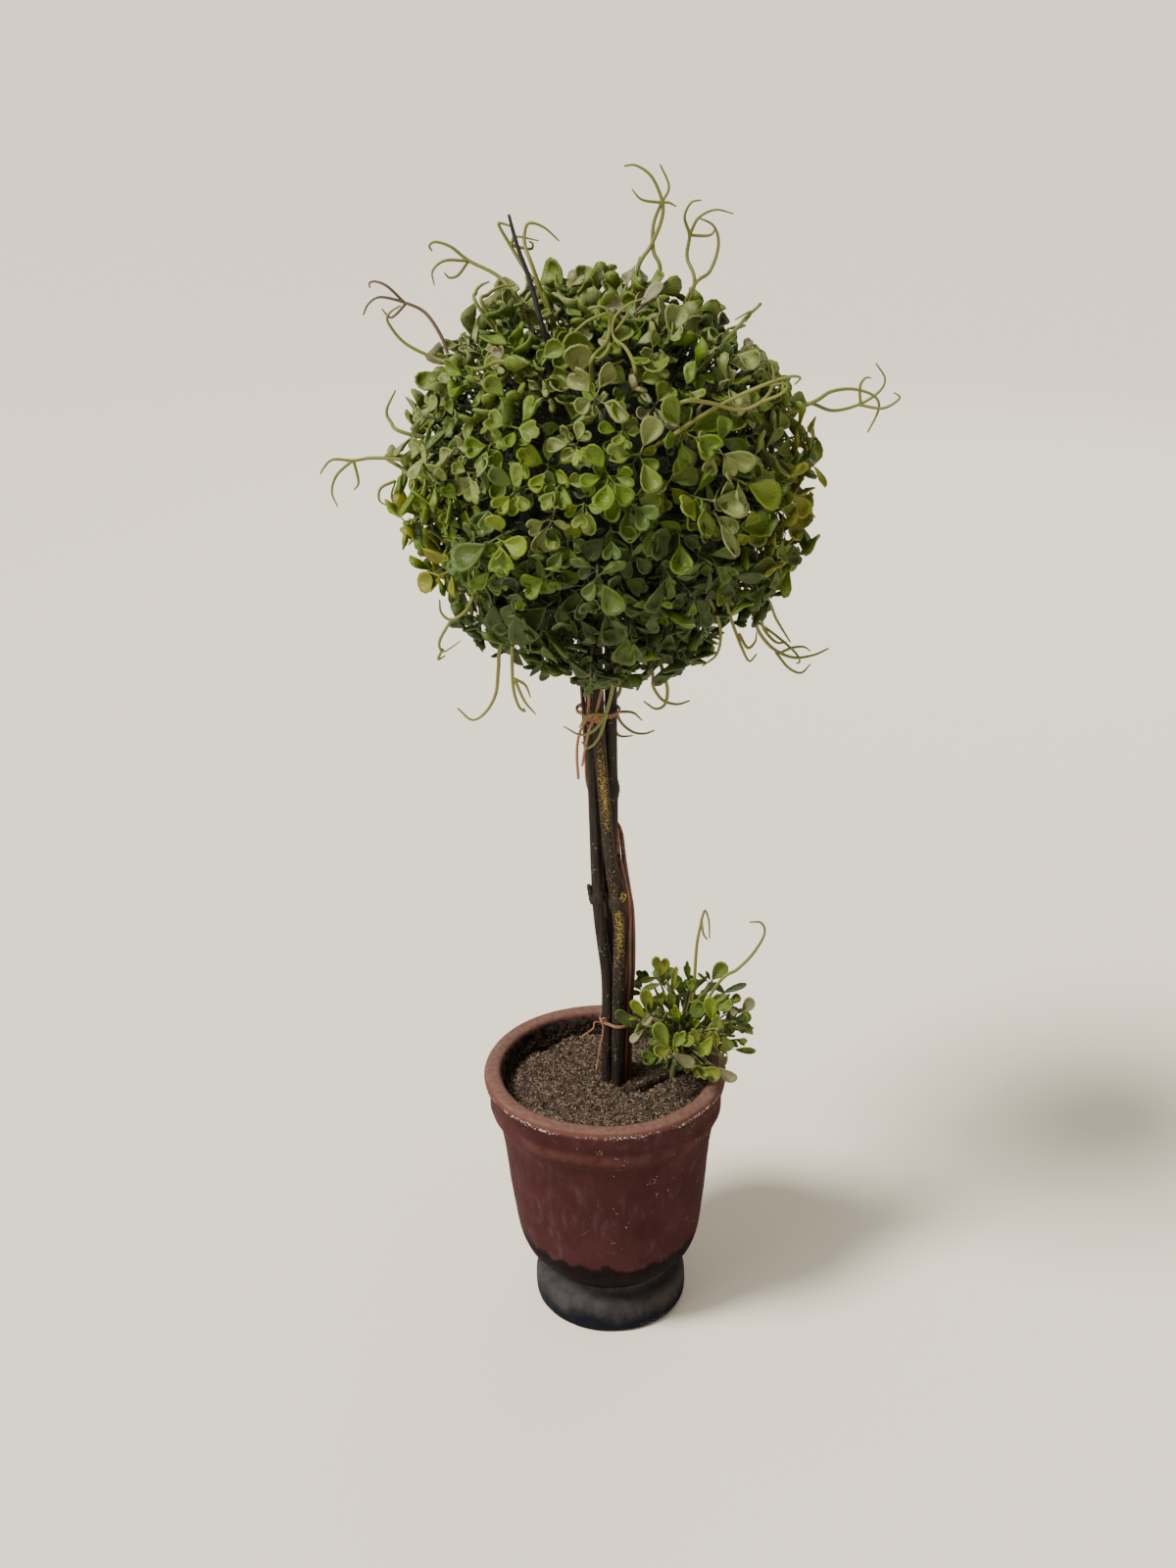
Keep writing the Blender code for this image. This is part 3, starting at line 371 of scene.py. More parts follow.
class Look:
    """A material while its nodes are made. Places are in the object's own metres."""

    def __init__(self, name, **plain):
        self.material = bpy.data.materials.new(name)
        self.material.use_nodes = True
        self.finish(**plain)

    def put(self, owner, inputs):
        """Sets a node's sockets, or links them."""
        for key, value in inputs.items():
            socket = owner.inputs[key]
            if isinstance(value, Value):
                self.material.node_tree.links.new(value.socket, socket)
            else:
                socket.default_value = (*value, 1.0) if socket.type == "RGBA" else value

    def finish(self, **sockets):
        shader = self.material.node_tree.nodes["Principled BSDF"]
        self.put(shader, {key.replace("_", " "): value for key, value in sockets.items()})
        return self.material

    def grained(self, grain, rough, distance, strength, **sockets):
        """Finishes a look whose gloss and relief follow its grain."""
        return self.finish(Roughness=grain.span(0.3, 0.7, *rough), Normal=grain.bump(distance, strength),
                           **sockets)

    def node(self, kind, inputs=None, output=0, **settings):
        made = self.material.node_tree.nodes.new(kind)
        for key, value in settings.items():
            setattr(made, key, value)
        self.put(made, inputs or {})
        return Value(self, made.outputs[output])

    @functools.lru_cache(maxsize=None)
    def place(self, stretch=1.0):
        point = self.node("ShaderNodeTexCoord", output="Object")
        return self.node("ShaderNodeMapping", {"Vector": point, "Scale": (1.0, 1.0, stretch)})

    def axes(self, place=None):
        split = self.node("ShaderNodeSeparateXYZ", {0: place or self.place()})
        return [Value(self, output) for output in split.socket.node.outputs]

    def cloud(self, scale, detail=3.0, rough=0.55, stretch=1.0):
        """Noise from about 0.25 to 0.75."""
        return self.node("ShaderNodeTexNoise", {"Vector": self.place(stretch), "Scale": scale,
                                                "Detail": detail, "Roughness": rough})

    def cells(self, scale, output="Distance"):
        return self.node("ShaderNodeTexVoronoi", {"Vector": self.place(), "Scale": scale}, output)


def clay_material():
    """Oxblood paint worn pink at the lip, rubbed and lighter along the bead as partly a painted highlight, a
    ragged dark band low down, a slate foot.
    """
    look = Look("painted_clay", Specular_IOR_Level=0.06)
    x, y, z = look.axes()
    across = x - z * POT_LEAN
    radius = (across * across + y * y).maths("SQRT")
    fine = look.cloud(420)
    strokes = look.cloud(240, 5, 0.65, 0.30)
    colour = look.cloud(34, 4).span(0.35, 0.65).tint((0.0405, 0.0120, 0.0125), (0.055, 0.0180, 0.0195))
    blotch = strokes.span(0.42, 0.70) * look.cloud(52, 4).span(0.42, 0.64) * 0.48
    colour = blotch.tint(colour, (0.096, 0.052, 0.060))
    edge = z + look.cloud(60, 5, 0.7, 0.30) * 0.024
    colour = edge.span(0.0575, 0.0540).tint(colour, (0.0075, 0.0035, 0.0052))
    worn_foot = strokes * 0.6 + look.cloud(45) * 0.4
    slate = worn_foot.span(0.40, 0.60).tint((0.033, 0.0290, 0.0325), (0.053, 0.0460, 0.0465))
    low = z + look.cloud(62, 5, 0.6) * 0.024
    slate = low.span(0.0262, 0.0166).tint(slate, (0.0072, 0.0080, 0.0135))
    colour = z.span(0.0225, 0.0205).tint(colour, slate)
    worn = fine.span(0.25, 0.75).tint((0.134, 0.066, 0.050), (0.188, 0.104, 0.080))
    upward = look.axes(look.node("ShaderNodeNewGeometry", output="Normal"))[2]
    worn = upward.span(0.90, 0.35).tint(worn, (0.118, 0.046, 0.038))
    lip = z + look.cloud(150, 4) * 0.0024
    colour = (lip.span(0.1252, 0.1272) * 0.95).tint(colour, worn)
    # Lighter paint along the bead's crest: rubbed paint, partly a painted highlight on the ridge.
    rubbed_and_highlight = z.span(0.1065, 0.1105) * z.span(0.1150, 0.1118) * look.cloud(120, 4).span(0.30, 0.62) * 0.30
    colour = rubbed_and_highlight.tint(colour, (0.138, 0.058, 0.050))
    # Dark residue on the inner wall above the filler, partly painted shade in that recess.
    crumbs = look.cloud(260, 5, 0.65)
    reach = z + crumbs * 0.012
    inside = radius.span(0.0500, 0.0488) * reach.span(0.1335, 0.1312) * z.span(0.104, 0.106)
    residue_and_shade = crumbs.span(0.40, 0.64).tint((0.010, 0.007, 0.006), (0.060, 0.040, 0.030))
    chips = chip_mask(look, x, y, z, radius)
    colour = chips.tint(inside.tint(colour, residue_and_shade), (0.62, 0.57, 0.52))
    relief = strokes.bump(0.0005, 0.35, Normal=fine.bump(0.0003, 0.5))
    return look.finish(Base_Color=colour, Roughness=strokes.span(0.3, 0.7, 0.70, 0.92),
                       Normal=chips.bump(-0.0005, 0.8, Normal=relief))


def chip_mask(look, x, y, z, radius):
    """Where the paint is chipped: along the lip's outer edge, and in specks on the wall and foot."""
    speck = look.cells(1500).span(0.28, 0.20)
    crowd = look.cloud(85, 3, 0.6).span(0.44, 0.54)
    level = z + look.cloud(180, 2) * 0.0026
    line = level.span(0.1252, 0.1258) * level.span(0.1278, 0.1270) * radius.span(0.0548, 0.0556)
    lip = line * crowd * look.cloud(950, 4, 0.7).span(0.53, 0.57)
    band = speck * look.cloud(150).span(0.61, 0.68) * z.span(0.103, 0.108) * z.span(0.126, 0.122)
    lone = speck * look.cloud(190, 2).span(0.67, 0.70) * z.span(0.044, 0.050) * x.span(-0.020, 0.0)
    foot = look.cloud(900, 4, 0.7).span(0.57, 0.61) * z.span(0.0042, 0.0022)
    return lip | foot * x.span(0.013, 0.017) * y.span(-0.020, -0.026) | (lone | band)


def filler_material(name, deep, pale):
    """Fine crumbs and fibres, each of its own tone."""
    look = Look(name, Specular_IOR_Level=0.15)
    tone = look.node("ShaderNodeSeparateColor", {0: look.cells(1500, "Color")})
    dark = look.cloud(260, 4, 0.6).span(0.56, 0.40) * 0.55
    return look.finish(Base_Color=dark.tint(tone.tint(deep, pale), (0.040, 0.027, 0.019)),
                       Roughness=tone.span(0, 1, 0.85, 1.0), Normal=look.cloud(1500).bump(0.0005, 0.7))


def bark_material(name, lichen=0.0):
    """Dark dry bark with lengthwise streaks, pale specks and, on one cane, yellow lichen."""
    look = Look(name, Specular_IOR_Level=0.22)
    streaks = look.cloud(900, 5, 0.6, 0.07)
    colour = streaks.span(0.36, 0.66).tint((0.0060, 0.0044, 0.0037), (0.031, 0.0225, 0.0170))
    colour = (look.cloud(130, 4).span(0.45, 0.7) * 0.5).tint(colour, (0.029, 0.0145, 0.0095))
    pale = look.cells(700).span(0.26, 0.16) * look.cloud(190, 2).span(0.56, 0.62)
    colour = pale.tint(colour, (0.26, 0.21, 0.13))
    if lichen:
        z = look.axes()[2]
        upper = z.span(0.250, 0.266) * z.span(0.298, 0.284)
        lower = z.span(0.182, 0.198) * z.span(0.226, 0.214)
        crust = look.cells(1100).span(0.24, 0.18) * (upper | lower | 0.12)
        crust = crust * look.cloud(230).span(0.40, 0.60) * lichen
        colour = crust.tint(colour, (0.26, 0.19, 0.035))
    return look.grained(streaks, (0.55, 0.8), 0.0004, 0.8, Base_Color=colour)


def lichen_material():
    look = Look("yellow_lichen", Specular_IOR_Level=0.2)
    tone = look.cloud(900, 2).span(0.35, 0.65)
    return look.finish(Base_Color=tone.tint((0.26, 0.170, 0.030), (0.52, 0.385, 0.11)),
                       Roughness=tone.span(0, 1, 0.8, 1.0), Normal=look.cloud(3000, 2).bump(0.0002, 0.6))


def vine_material():
    look = Look("red_vine", Specular_IOR_Level=0.42, Coat_Weight=0.10, Coat_Roughness=0.25)
    streaks = look.cloud(800, 4, 0.6, 0.06)
    colour = streaks.span(0.34, 0.66).tint((0.020, 0.0065, 0.0050), (0.205, 0.058, 0.026))
    colour = look.cloud(90).span(0.5, 0.75).tint(colour, (0.022, 0.012, 0.010))
    return look.grained(streaks, (0.32, 0.55), 0.0003, 0.6, Base_Color=colour)


def twine_material():
    look = Look("copper_twine", Specular_IOR_Level=0.3, Sheen_Weight=0.3)
    fibres = look.cloud(2600, 3, 0.6)
    colour = fibres.span(0.35, 0.65).tint((0.215, 0.082, 0.036), (0.45, 0.205, 0.100))
    return look.grained(fibres, (0.65, 0.85), 0.0003, 0.7, Base_Color=colour)


def stick_material():
    look = Look("black_stick", Specular_IOR_Level=0.35)
    grain = look.cloud(900, 4, stretch=0.1)
    colour = grain.span(0.35, 0.7).tint((0.006, 0.006, 0.007), (0.028, 0.024, 0.024))
    return look.grained(grain, (0.45, 0.7), 0.0003, 0.6, Base_Color=colour)


@functools.lru_cache(maxsize=None)
def leaf_material(tint):
    """Satin moulded plastic in one tint: faint veins from the leaf's own map, and fine dust."""
    look = Look("leaf_" + tint, Base_Color=TINTS[tint], Specular_IOR_Level=0.42)
    across, along, _ = look.axes(look.node("ShaderNodeUVMap", uv_map="blade"))
    away = (across - 0.5).maths("ABSOLUTE")
    veins = ((along - away * 0.7) * 60.0).maths("SINE") * 0.25 + away.span(0.05, 0.0)
    dust = look.cloud(1400, 3, 0.6)
    return look.finish(Roughness=dust.span(0.35, 0.65, 0.42, 0.66),
                       Normal=dust.bump(0.0002, 0.4, Normal=veins.bump(0.00025, 0.5)))


def stem_material(name, colour, rough=0.6):
    look = Look(name, Base_Color=colour, Specular_IOR_Level=0.4)
    return look.grained(look.cloud(1200), (rough - 0.12, rough + 0.12), 0.0002, 0.5)


# Meshes


def add_object(name, data):
    made = bpy.data.objects.new(name, data)
    bpy.context.scene.collection.objects.link(made)
    return made


def add_piece(name, points, faces, material, slot, *nodes, marks=()):
    """A smooth piece from points and triangles, on the one body, standing for solids."""
    mesh = bpy.data.meshes.new(name)
    mesh.from_pydata(np.asarray(points).tolist(), [], faces.tolist())
    if marks:
        places = np.concatenate(marks)[faces.ravel()]
        mesh.uv_layers.new(name="blade").uv.foreach_set("vector", places.astype(np.float32).ravel())
    mesh.shade_smooth()
    mesh.materials.append(material)
    piece = add_object(name, mesh)
    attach(piece, "root")
    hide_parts(*nodes)
    return piece


def fan(first, sides, centre, turned=False):
    """Triangles from a ring of points that starts at first to a point in its middle."""
    here = first + np.arange(sides)
    ends = [here, np.roll(here, -1)]
    return np.column_stack([*(ends[::-1] if turned else ends), np.full(sides, centre)])


@functools.lru_cache(maxsize=None)
def wall_faces(rows, sides):
    """Triangles between rows of points that run up the outside."""
    row, side = np.meshgrid(np.arange(rows - 1), np.arange(sides), indexing="ij")
    a = (row * sides + side).ravel()
    b = (row * sides + (side + 1) % sides).ravel()
    return np.vstack([np.column_stack([a, b, b + sides]), np.column_stack([a, b + sides, a + sides])])


@functools.lru_cache(maxsize=None)
def tube_faces(rows, sides):
    """Triangles of a closed tube: rows of sides points, then the middles of its two ends."""
    middle = rows * sides
    return np.vstack([wall_faces(rows, sides), fan(0, sides, middle, turned=True),
                      fan(middle - sides, sides, middle + 1)])


def travelled(line):
    """The way along a line to each of its points."""
    return np.concatenate([[0], np.cumsum(np.linalg.norm(np.diff(line, axis=0), axis=1))])


def across_line(line):
    """Two directions across a line at each of its points, carried along it without twist."""
    ahead = np.gradient(line, axis=0)
    ahead /= np.linalg.norm(ahead, axis=1, keepdims=True) + 1e-12
    first = np.cross(ahead[0], (0.0, 0.0, 1.0))
    if np.linalg.norm(first) < 0.1:
        first = np.cross(ahead[0], (1.0, 0.0, 0.0))
    across = [unit(first)]
    for way in ahead[1:]:
        across.append(unit(across[-1] - way * across[-1].dot(way)))
    return vec(across), np.cross(ahead, across)


def tube(line, radii, sides):
    """A round bar along a line. Radii are one number, one for each point, or one for each side too."""
    line = vec(line)
    radii = vec(radii)
    across, over = across_line(line)
    turn = turns(sides)[None, :, None]
    ring = np.cos(turn) * across[:, None, :] + np.sin(turn) * over[:, None, :]
    if radii.ndim == 1:
        radii = radii[:, None]
    wall = line[:, None, :] + ring * np.broadcast_to(radii, (len(line), sides))[:, :, None]
    return np.vstack([wall.reshape(-1, 3), line[:1], line[-1:]]), tube_faces(len(line), sides)


class Pile:
    """Many small shapes that become one mesh. Marks are each point's place on a leaf's map."""

    def __init__(self):
        self.points = []
        self.faces = []
        self.marks = []
        self.total = 0

    def add(self, points, faces, marks=None):
        self.points.append(points)
        self.faces.append(faces + self.total)
        self.total += len(points)
        if marks is not None:
            self.marks.append(marks)

    def tube(self, line, radii, sides):
        self.add(*tube(line, radii, sides))

    def twine(self, line, radius):
        """Two plies wound round a line."""
        line = vec(line)
        across, over = across_line(line)
        wound = travelled(line) * TWINE_TURNS * 2 * np.pi
        for turn in (wound[:, None], wound[:, None] + np.pi):
            offset = np.cos(turn) * across + np.sin(turn) * over
            self.tube(line + offset * radius * 0.5, radius * 0.56, TWINE_SIDES)

    def build(self, name, material, slot, *nodes):
        return add_piece(name, np.concatenate(self.points), np.concatenate(self.faces), material, slot,
                         *nodes, marks=self.marks)


def smooth_line(points, count):
    """A smooth curve through a few points, as count + 1 places."""
    points = vec(points)
    last = len(points) - 1
    line = []
    for share in np.linspace(0, last, count + 1):
        step = min(int(share), last - 1)
        start, end = points[step], points[step + 1]
        slope_in = (end - points[max(step - 1, 0)]) / (2 if step else 1)
        slope_out = (points[min(step + 2, last)] - start) / (2 if step + 2 <= last else 1)
        line.append(curve(share - step, start, end, slope_in, slope_out))
    return vec(line)


@functools.lru_cache(maxsize=None)
def pebble(sides, top=1.0, low=-1.0):
    """A ring of points with one above and one below it."""
    turn = turns(sides)
    ring = np.column_stack([np.cos(turn), np.sin(turn), np.zeros(sides)])
    faces = np.vstack([fan(0, sides, sides), fan(0, sides, sides + 1, turned=True)])
    return np.vstack([ring, (0, 0, top), (0, 0, low)]), faces


# Trunk


def track(points, height):
    """x and y of a strand at a height, on a smooth curve through its own points."""
    points = vec(sorted(points))
    last = len(points) - 2
    step = min(np.searchsorted(points[1:, 0], height), last)
    before, start = points[max(step - 1, 0)], points[step]
    end, after = points[step + 1], points[min(step + 2, last + 1)]
    reach = end[0] - start[0]
    slope_in = (end - before) / (end[0] - before[0]) * reach
    slope_out = (after - start) / (after[0] - start[0]) * reach
    return curve((height - start[0]) / reach, start, end, slope_in, slope_out)[1:]


def strand_line(points, count):
    levels = np.linspace(min(points)[0], max(points)[0], count)
    return np.array([mm(*track(points, z), z) for z in levels])


# The heights between which a cane thins, and how much it swells over what height at its knot
CANE_FOOT, CANE_TOP = 92, 398
KNOT_SWELL, KNOT_HEIGHT = 0.32, 3.5


def cane_radius(radius, knot, height):
    taper = 1.06 - 0.12 * (height - CANE_FOOT) / (CANE_TOP - CANE_FOOT)
    return radius * taper * (1 + KNOT_SWELL * math.exp(-((height - knot) / KNOT_HEIGHT) ** 2))


# Lumps on the knots: height and turn round the cane in radians, how far and how wide, in mm
LUMPS = {
    "cane_left": ((217.6, 3.5, 1.7, 2.6), (216.2, 4.9, 0.7, 2.2), (219.5, 0.2, 0.5, 2.4)),
    "cane_front": ((217.2, 5.9, 1.5, 2.8), (215.0, 4.6, 0.7, 2.6), (216.5, 3.3, 0.7, 2.2)),
    "cane_back": (),
}
# Bud stubs: foot, tip and radius in mm
BUDS = {
    "cane_left": ((-7.4, -0.5, 214.5), (-9.1, -1.1, 224.0), 1.15),
    "cane_front": ((4.6, -4.2, 214.6), (6.4, -4.6, 220.2), 1.55),
}
CANE_SIDES = 34
BUD_SIDES = 12


def bark_row(name, height):
    """Radii round a cane at one height, in metres: ridges along it, and lumps and rings at the knot."""
    radius, knot, _ = CANES[name]
    near = math.exp(-((height - knot) / 4.5) ** 2)
    radii = []
    for turn in turns(CANE_SIDES):
        x, y = math.cos(turn), math.sin(turn)
        ridge, fine, lump = (noise.noise(Vector((x * scale, y * scale, height * rise + radius * 40)))
                             for scale, rise in ((1.9, 0.012), (5.0, 0.055), (2.4, 0.45)))
        rings = math.sin(height * 2.6 + 2 * x)
        grown = sum(far * math.exp(-((height - z) / wide) ** 2) * max(0.0, math.cos(turn - middle)) ** 2
                    for z, middle, far, wide in LUMPS[name])
        radii.append(0.24 * ridge + 0.12 * fine + near * (0.45 * lump + 0.14 * rings) + grown)
    return (cane_radius(radius, knot, height) + vec(radii)) / 1000


def add_bud(pile, foot, tip, radius):
    """A scaly bud: a stub that swells over its foot and comes to a blunt, broken end."""
    shares = np.linspace(0, 1, 15)[:, None]
    scales = 1 + 0.13 * np.sin(shares * 21) * np.cos(2 * turns(BUD_SIDES))
    line = vec(foot) + (vec(tip) - vec(foot)) * shares
    pile.tube(line / 1000, radius / 1000 * (1.1 - shares**3 * 0.30) * scales, BUD_SIDES)


def build_canes():
    for name, (_, _, points) in CANES.items():
        low, high = points[0][0], points[-1][0]
        levels = np.linspace(low, high, high - low)
        pile = Pile()
        pile.tube(strand_line(points, len(levels)), [bark_row(name, z) for z in levels], CANE_SIDES)
        if name in BUDS:
            add_bud(pile, *BUDS[name])
        material = bark_material(name + "_bark", 0.4 if name == "cane_front" else 0.0)
        pile.build(name + "_bark", material, "cane_bark", name)


# Lichen on the front cane: the heights between which it grows, how many crumbs, and their spread
LICHEN = ((252, 296, 820, 0.36), (184, 224, 560, 0.42), (125, 300, 420, 1.1))
BUD_CRUMBS = 260
CRUMB_RADIUS = 0.00025
CRUMB_SIZES = (0.35, 0.95)


def build_lichen():
    """Yellow crumbs on the front cane, thick in two stretches, and on its bud."""
    chance = random.Random(SEED + 5)
    radius, knot, points = CANES["cane_front"]
    shape, faces = pebble(5, 0.75, -0.4)
    crumb = shape * CRUMB_RADIUS
    pile = Pile()
    for low, high, count, spread in LICHEN:
        for _ in range(count):
            z = chance.triangular(low, high)
            turn = -math.pi / 2 + chance.gauss(0.1, spread)
            out = Vector((math.cos(turn), math.sin(turn), 0))
            place = mm(*track(points, z), z) + out * (cane_radius(radius, knot, z) / 1000 + 0.00002)
            size = chance.uniform(*CRUMB_SIZES)
            turned = out.to_track_quat("Z", "Y").to_matrix() @ Matrix.Rotation(chance.uniform(0, 6.3), 3, "Z")
            shaped = crumb * vec((size, size * chance.uniform(0.6, 1.5), size))
            pile.add(shaped @ vec(turned).T + vec(place), faces)
    foot, tip, thick = BUDS["cane_front"]
    for _ in range(BUD_CRUMBS):
        out = Vector([chance.gauss(0, 1) for _ in range(3)]).normalized()
        place = mm(*foot).lerp(mm(*tip), chance.uniform(0.3, 1.0)) + out * thick * 0.00105
        turned = out.to_track_quat("Z", "Y").to_matrix()
        pile.add(crumb * chance.uniform(0.8, 1.5) @ vec(turned).T + vec(place), faces)
    pile.build("lichen", lichen_material(), "cane_bark")


VINE_SIDES = 14


def build_vines():
    """Fluted, slightly flattened strands."""
    material = vine_material()
    for number, (name, (radius, points)) in enumerate(VINES.items()):
        line = strand_line(points, 150)
        along = np.arange(len(line))[:, None]
        flutes = 1 + 0.07 * np.sin(3 * turns(VINE_SIDES) + along * 0.05 + number)
        waves = 1 + 0.05 * np.sin(along * 0.21 + number * 2)
        pile = Pile()
        pile.tube(line, radius / 1000 * flutes * waves, VINE_SIDES)
        pile.build(name + "_bark", material, "vine", name)
    inner = Pile()
    for radius, points in INNER_STRANDS:
        inner.tube(strand_line(points, 80), radius / 1000, VINE_SIDES)
    inner.build("inner_strands", material, "vine")


# Twine


def knot_line(centre, size):
    """A tight overhand knot."""
    turn = np.linspace(0, 2 * np.pi, 60)
    shape = np.column_stack([np.sin(turn) + 2 * np.sin(2 * turn), -np.sin(3 * turn) * 0.8,
                             np.cos(turn) - 2 * np.cos(2 * turn)])
    return vec(centre) + shape * size / 3


def tie_ring(height, *groups, tilt=0.6, count=90):
    """A loop of twine drawn tight round the canes and the strands that pass a height."""
    members = [(Vector(track(points, height)), cane_radius(radius, knot, height))
               for radius, knot, points in CANES.values()]
    for group in groups:
        members += [(Vector(track(points, height)), radius) for radius, points in group.values()
                    if min(points)[0] <= height <= max(points)[0]]
    middle = sum((place for place, _ in members), Vector((0, 0))) / len(members)
    ring = []
    for index in range(count + 1):
        turn = 2 * math.pi * index / count
        out = Vector((math.cos(turn), math.sin(turn)))
        reach = max((place - middle).dot(out) + size for place, size in members)
        ring.append(mm(*middle + out * (reach + TWINE_RADIUS + 0.1), height + tilt * math.sin(turn)))
    return ring


def build_lower_tie(material):
    ring = tie_ring(LOWER_TIE, VINES)
    knot = min(ring, key=lambda point: point.y + point.x)
    pile = Pile()
    pile.twine(ring, 0.00040)
    pile.twine([point + mm(0, 0, 0.8) for point in ring], 0.00032)
    pile.tube(knot_line(knot + mm(-0.3, -0.4, 0.3), 0.0010), 0.00034, TWINE_SIDES)
    for bend, tip in zip(((-4.0, -2.2, 1.8), (-0.6, -2.6, -6.0)), LOOSE_ENDS):
        places = [knot, knot + mm(*bend), (knot + mm(*tip)) / 2 + mm(0, -0.9, 0.9), mm(*tip)]
        pile.twine(smooth_line(places, 40), 0.00036)
    loop = [knot + mm(*step) for step in ((0, 0, 0), (-1.0, -1.2, 2.6), (0.8, -1.4, 3.4), (1.2, -0.8, 1.4))]
    pile.twine(smooth_line(loop, 30), 0.00034)
    pile.build("lower_twine", material, "twine", "tie_lower")


def build_upper_tie(material):
    ring = tie_ring(UPPER_TIE, VINES, HANGERS)
    knot = min(ring, key=lambda point: point.y)
    pile = Pile()
    pile.twine(ring, 0.00055)
    pile.twine([point + mm(0, 0, -1.0) for point in ring], 0.00045)
    pile.tube(knot_line(knot + mm(1.0, -0.6, 0.4), 0.0017), 0.0005, TWINE_SIDES)
    bow = [knot + mm(3.2 * math.cos(a) + 1.0, -1.2, 1.6 * math.sin(a) + 1.4)
           for a in np.linspace(math.pi, 0, 5)]
    pile.twine(smooth_line([knot] + bow, 40), 0.00046)
    pile.build("upper_twine", material, "twine", "tie_upper")


def build_twine():
    material = twine_material()
    build_lower_tie(material)
    build_upper_tie(material)
    for name, (radius, points) in HANGERS.items():
        pile = Pile()
        pile.twine(strand_line(points, 110), radius / 1000)
        pile.build(name + "_twine", material, "twine", name)


def build_stick():
    foot, tip = BALL_CENTRE + mm(*STICK_FOOT), BALL_CENTRE + mm(*STICK_TIP)
    shares = np.linspace(0, 1, 60)
    line = np.array([foot.lerp(tip, share) for share in shares])
    line += 0.0006 * vec([[rough_at(point, 60), rough_at(point, 60, 4.0), 0.0] for point in line])
    ridges = vec([rough_at(point, 500) for point in line])
    pile = Pile()
    pile.tube(line, STICK_RADIUS * (1.05 - 0.45 * shares**3) * (1 + 0.12 * ridges), 10)
    snag = foot.lerp(tip, 0.60)
    pile.tube([snag, snag + mm(1.2, -0.6, 1.2), snag + mm(1.8, -0.9, 2.6)], (0.0006, 0.0004, 0.0001), 6)
    pile.build("stick_bark", stick_material(), "stick", "top_stick")


# Pot and filler

# Radius and height in mm down the pot's surface: its hollow from the bottom up, lip, bead, bowl, foot
POT_PROFILE = (
    (0, 30), (30, 30), (35.5, 37), (40.5, 58), (45, 93), (48.1, 122.5),
    (49, 126.3), (49.9, 127.9), (51.5, 128.5), (54.7, 128.5), (56.4, 128), (57.2, 126.5), (57, 123.3),
    (55.9, 120), (54.3, 116), (53.9, 113.7),
    (54.7, 111.5), (54.8, 109.7), (54.1, 107.7), (52.3, 105.3), (51.4, 103.3),
    (50.5, 98.5), (49.1, 90), (47.8, 77.5), (46.5, 65), (44.4, 46), (43.5, 41), (42.3, 36.5),
    (40.3, 32.7), (36.4, 28), (31.7, 24), (30, 22.6),
    (29, 20), (30, 18.4), (32.6, 17.6), (34.8, 16.8), (36.2, 15), (36.6, 11), (36.6, 3), (35.8, 0.6),
    (34.8, 0), (0, 0),
)
POT_STEP = 1.6
POT_SIDES = 180
# The part of the pot that is left quite even: its middle and its underside
EVEN_RADIUS, EVEN_HEIGHT = 0.004, 0.0003
LIP_HEIGHT = 0.010
FILL_RADIUS = MOUTH_RADIUS - 0.0012
FILL_SIDE = 0.022
FILL_RINGS, FILL_SIDES = 90, 264
LOOSE_CRUMBS, CRACK_CRUMBS, WALL_CRUMBS = 7600, 1500, 2600


def refined(profile, longest):
    """The profile with its long steps divided."""
    fine = [profile[:1]]
    for start, end in zip(profile, profile[1:]):
        parts = max(1, math.ceil(math.dist(start, end) / longest))
        fine.append(np.linspace(start, end, parts + 1)[1:])
    return np.vstack(fine)


def relaxed(profile, rounds=2):
    """The profile with its inner points smoothed."""
    for _ in range(rounds):
        inner = (profile[:-2] + 2 * profile[1:-1] + profile[2:]) / 4
        profile = np.vstack([profile[:1], inner, profile[-1:]])
    return profile


def pot_unevenness(x, y, z):
    """How far the hand-made wall stands proud, in metres."""
    place = Vector((x, y, z))
    waves = 0.00042 * noise.noise(place * 38) + 0.00016 * noise.noise(place * 150)
    lumps = 0.00030 * max(0.0, rough_at(place, 95, 5.0))
    near_bead = math.exp(-((z - POT_HEIGHT + 0.019) / 0.005) ** 2)
    return waves + lumps * (0.4 + near_bead)


def build_pot():
    profile = relaxed(refined(vec(POT_PROFILE), POT_STEP)) / 1000
    points = []
    for radius, height in profile:
        even = radius < EVEN_RADIUS or height < EVEN_HEIGHT
        lip = max(0.0, (height - POT_HEIGHT + LIP_HEIGHT) / LIP_HEIGHT)
        for turn in turns(POT_SIDES):
            x, y = math.cos(turn), math.sin(turn)
            out = radius if even else radius + pot_unevenness(x * radius, y * radius, height)
            rise = lip * (0.0005 * rough_at((x * 0.05, y * 0.05, 0), 40, 3.0) - 0.0002)
            points.append((x * out + POT_LEAN * height, y * out, height + rise))
    faces = wall_faces(len(profile), POT_SIDES)[:, ::-1]
    add_piece("pot_wall", points, faces, clay_material(), "pot_clay", "pot")


# A step runs from the trunk's foot to the right, and the crust is sunk beside it: place,
# width and depth of each hollow in mm
CRACK_START = Vector((0.0120, -0.0075))
CRACK_END = Vector((0.0335, 0.0098))
CRACK_STEP = 0.0026
HOLLOWS = ((8.0, 3.6, 3.2, 3.4), (8.2, -8.4, 2.4, 2.2), (11.6, -7.4, 1.6, 1.4), (-30, 36, 6.0, 1.6))


def crack_at(x, y):
    """How far a place is to the right of the step, and how much of the step is left there."""
    along = CRACK_END - CRACK_START
    from_start = Vector((x, y)) - CRACK_START
    share = from_start.dot(along) / along.length_squared
    aside = (from_start.x * along.y - from_start.y * along.x) / along.length
    aside += 0.0014 * rough_at((x, y, 0), 150, 6.0)
    return aside, max(0.0, min(1.0, min(share + 0.10, 1.10 - share) * 5))


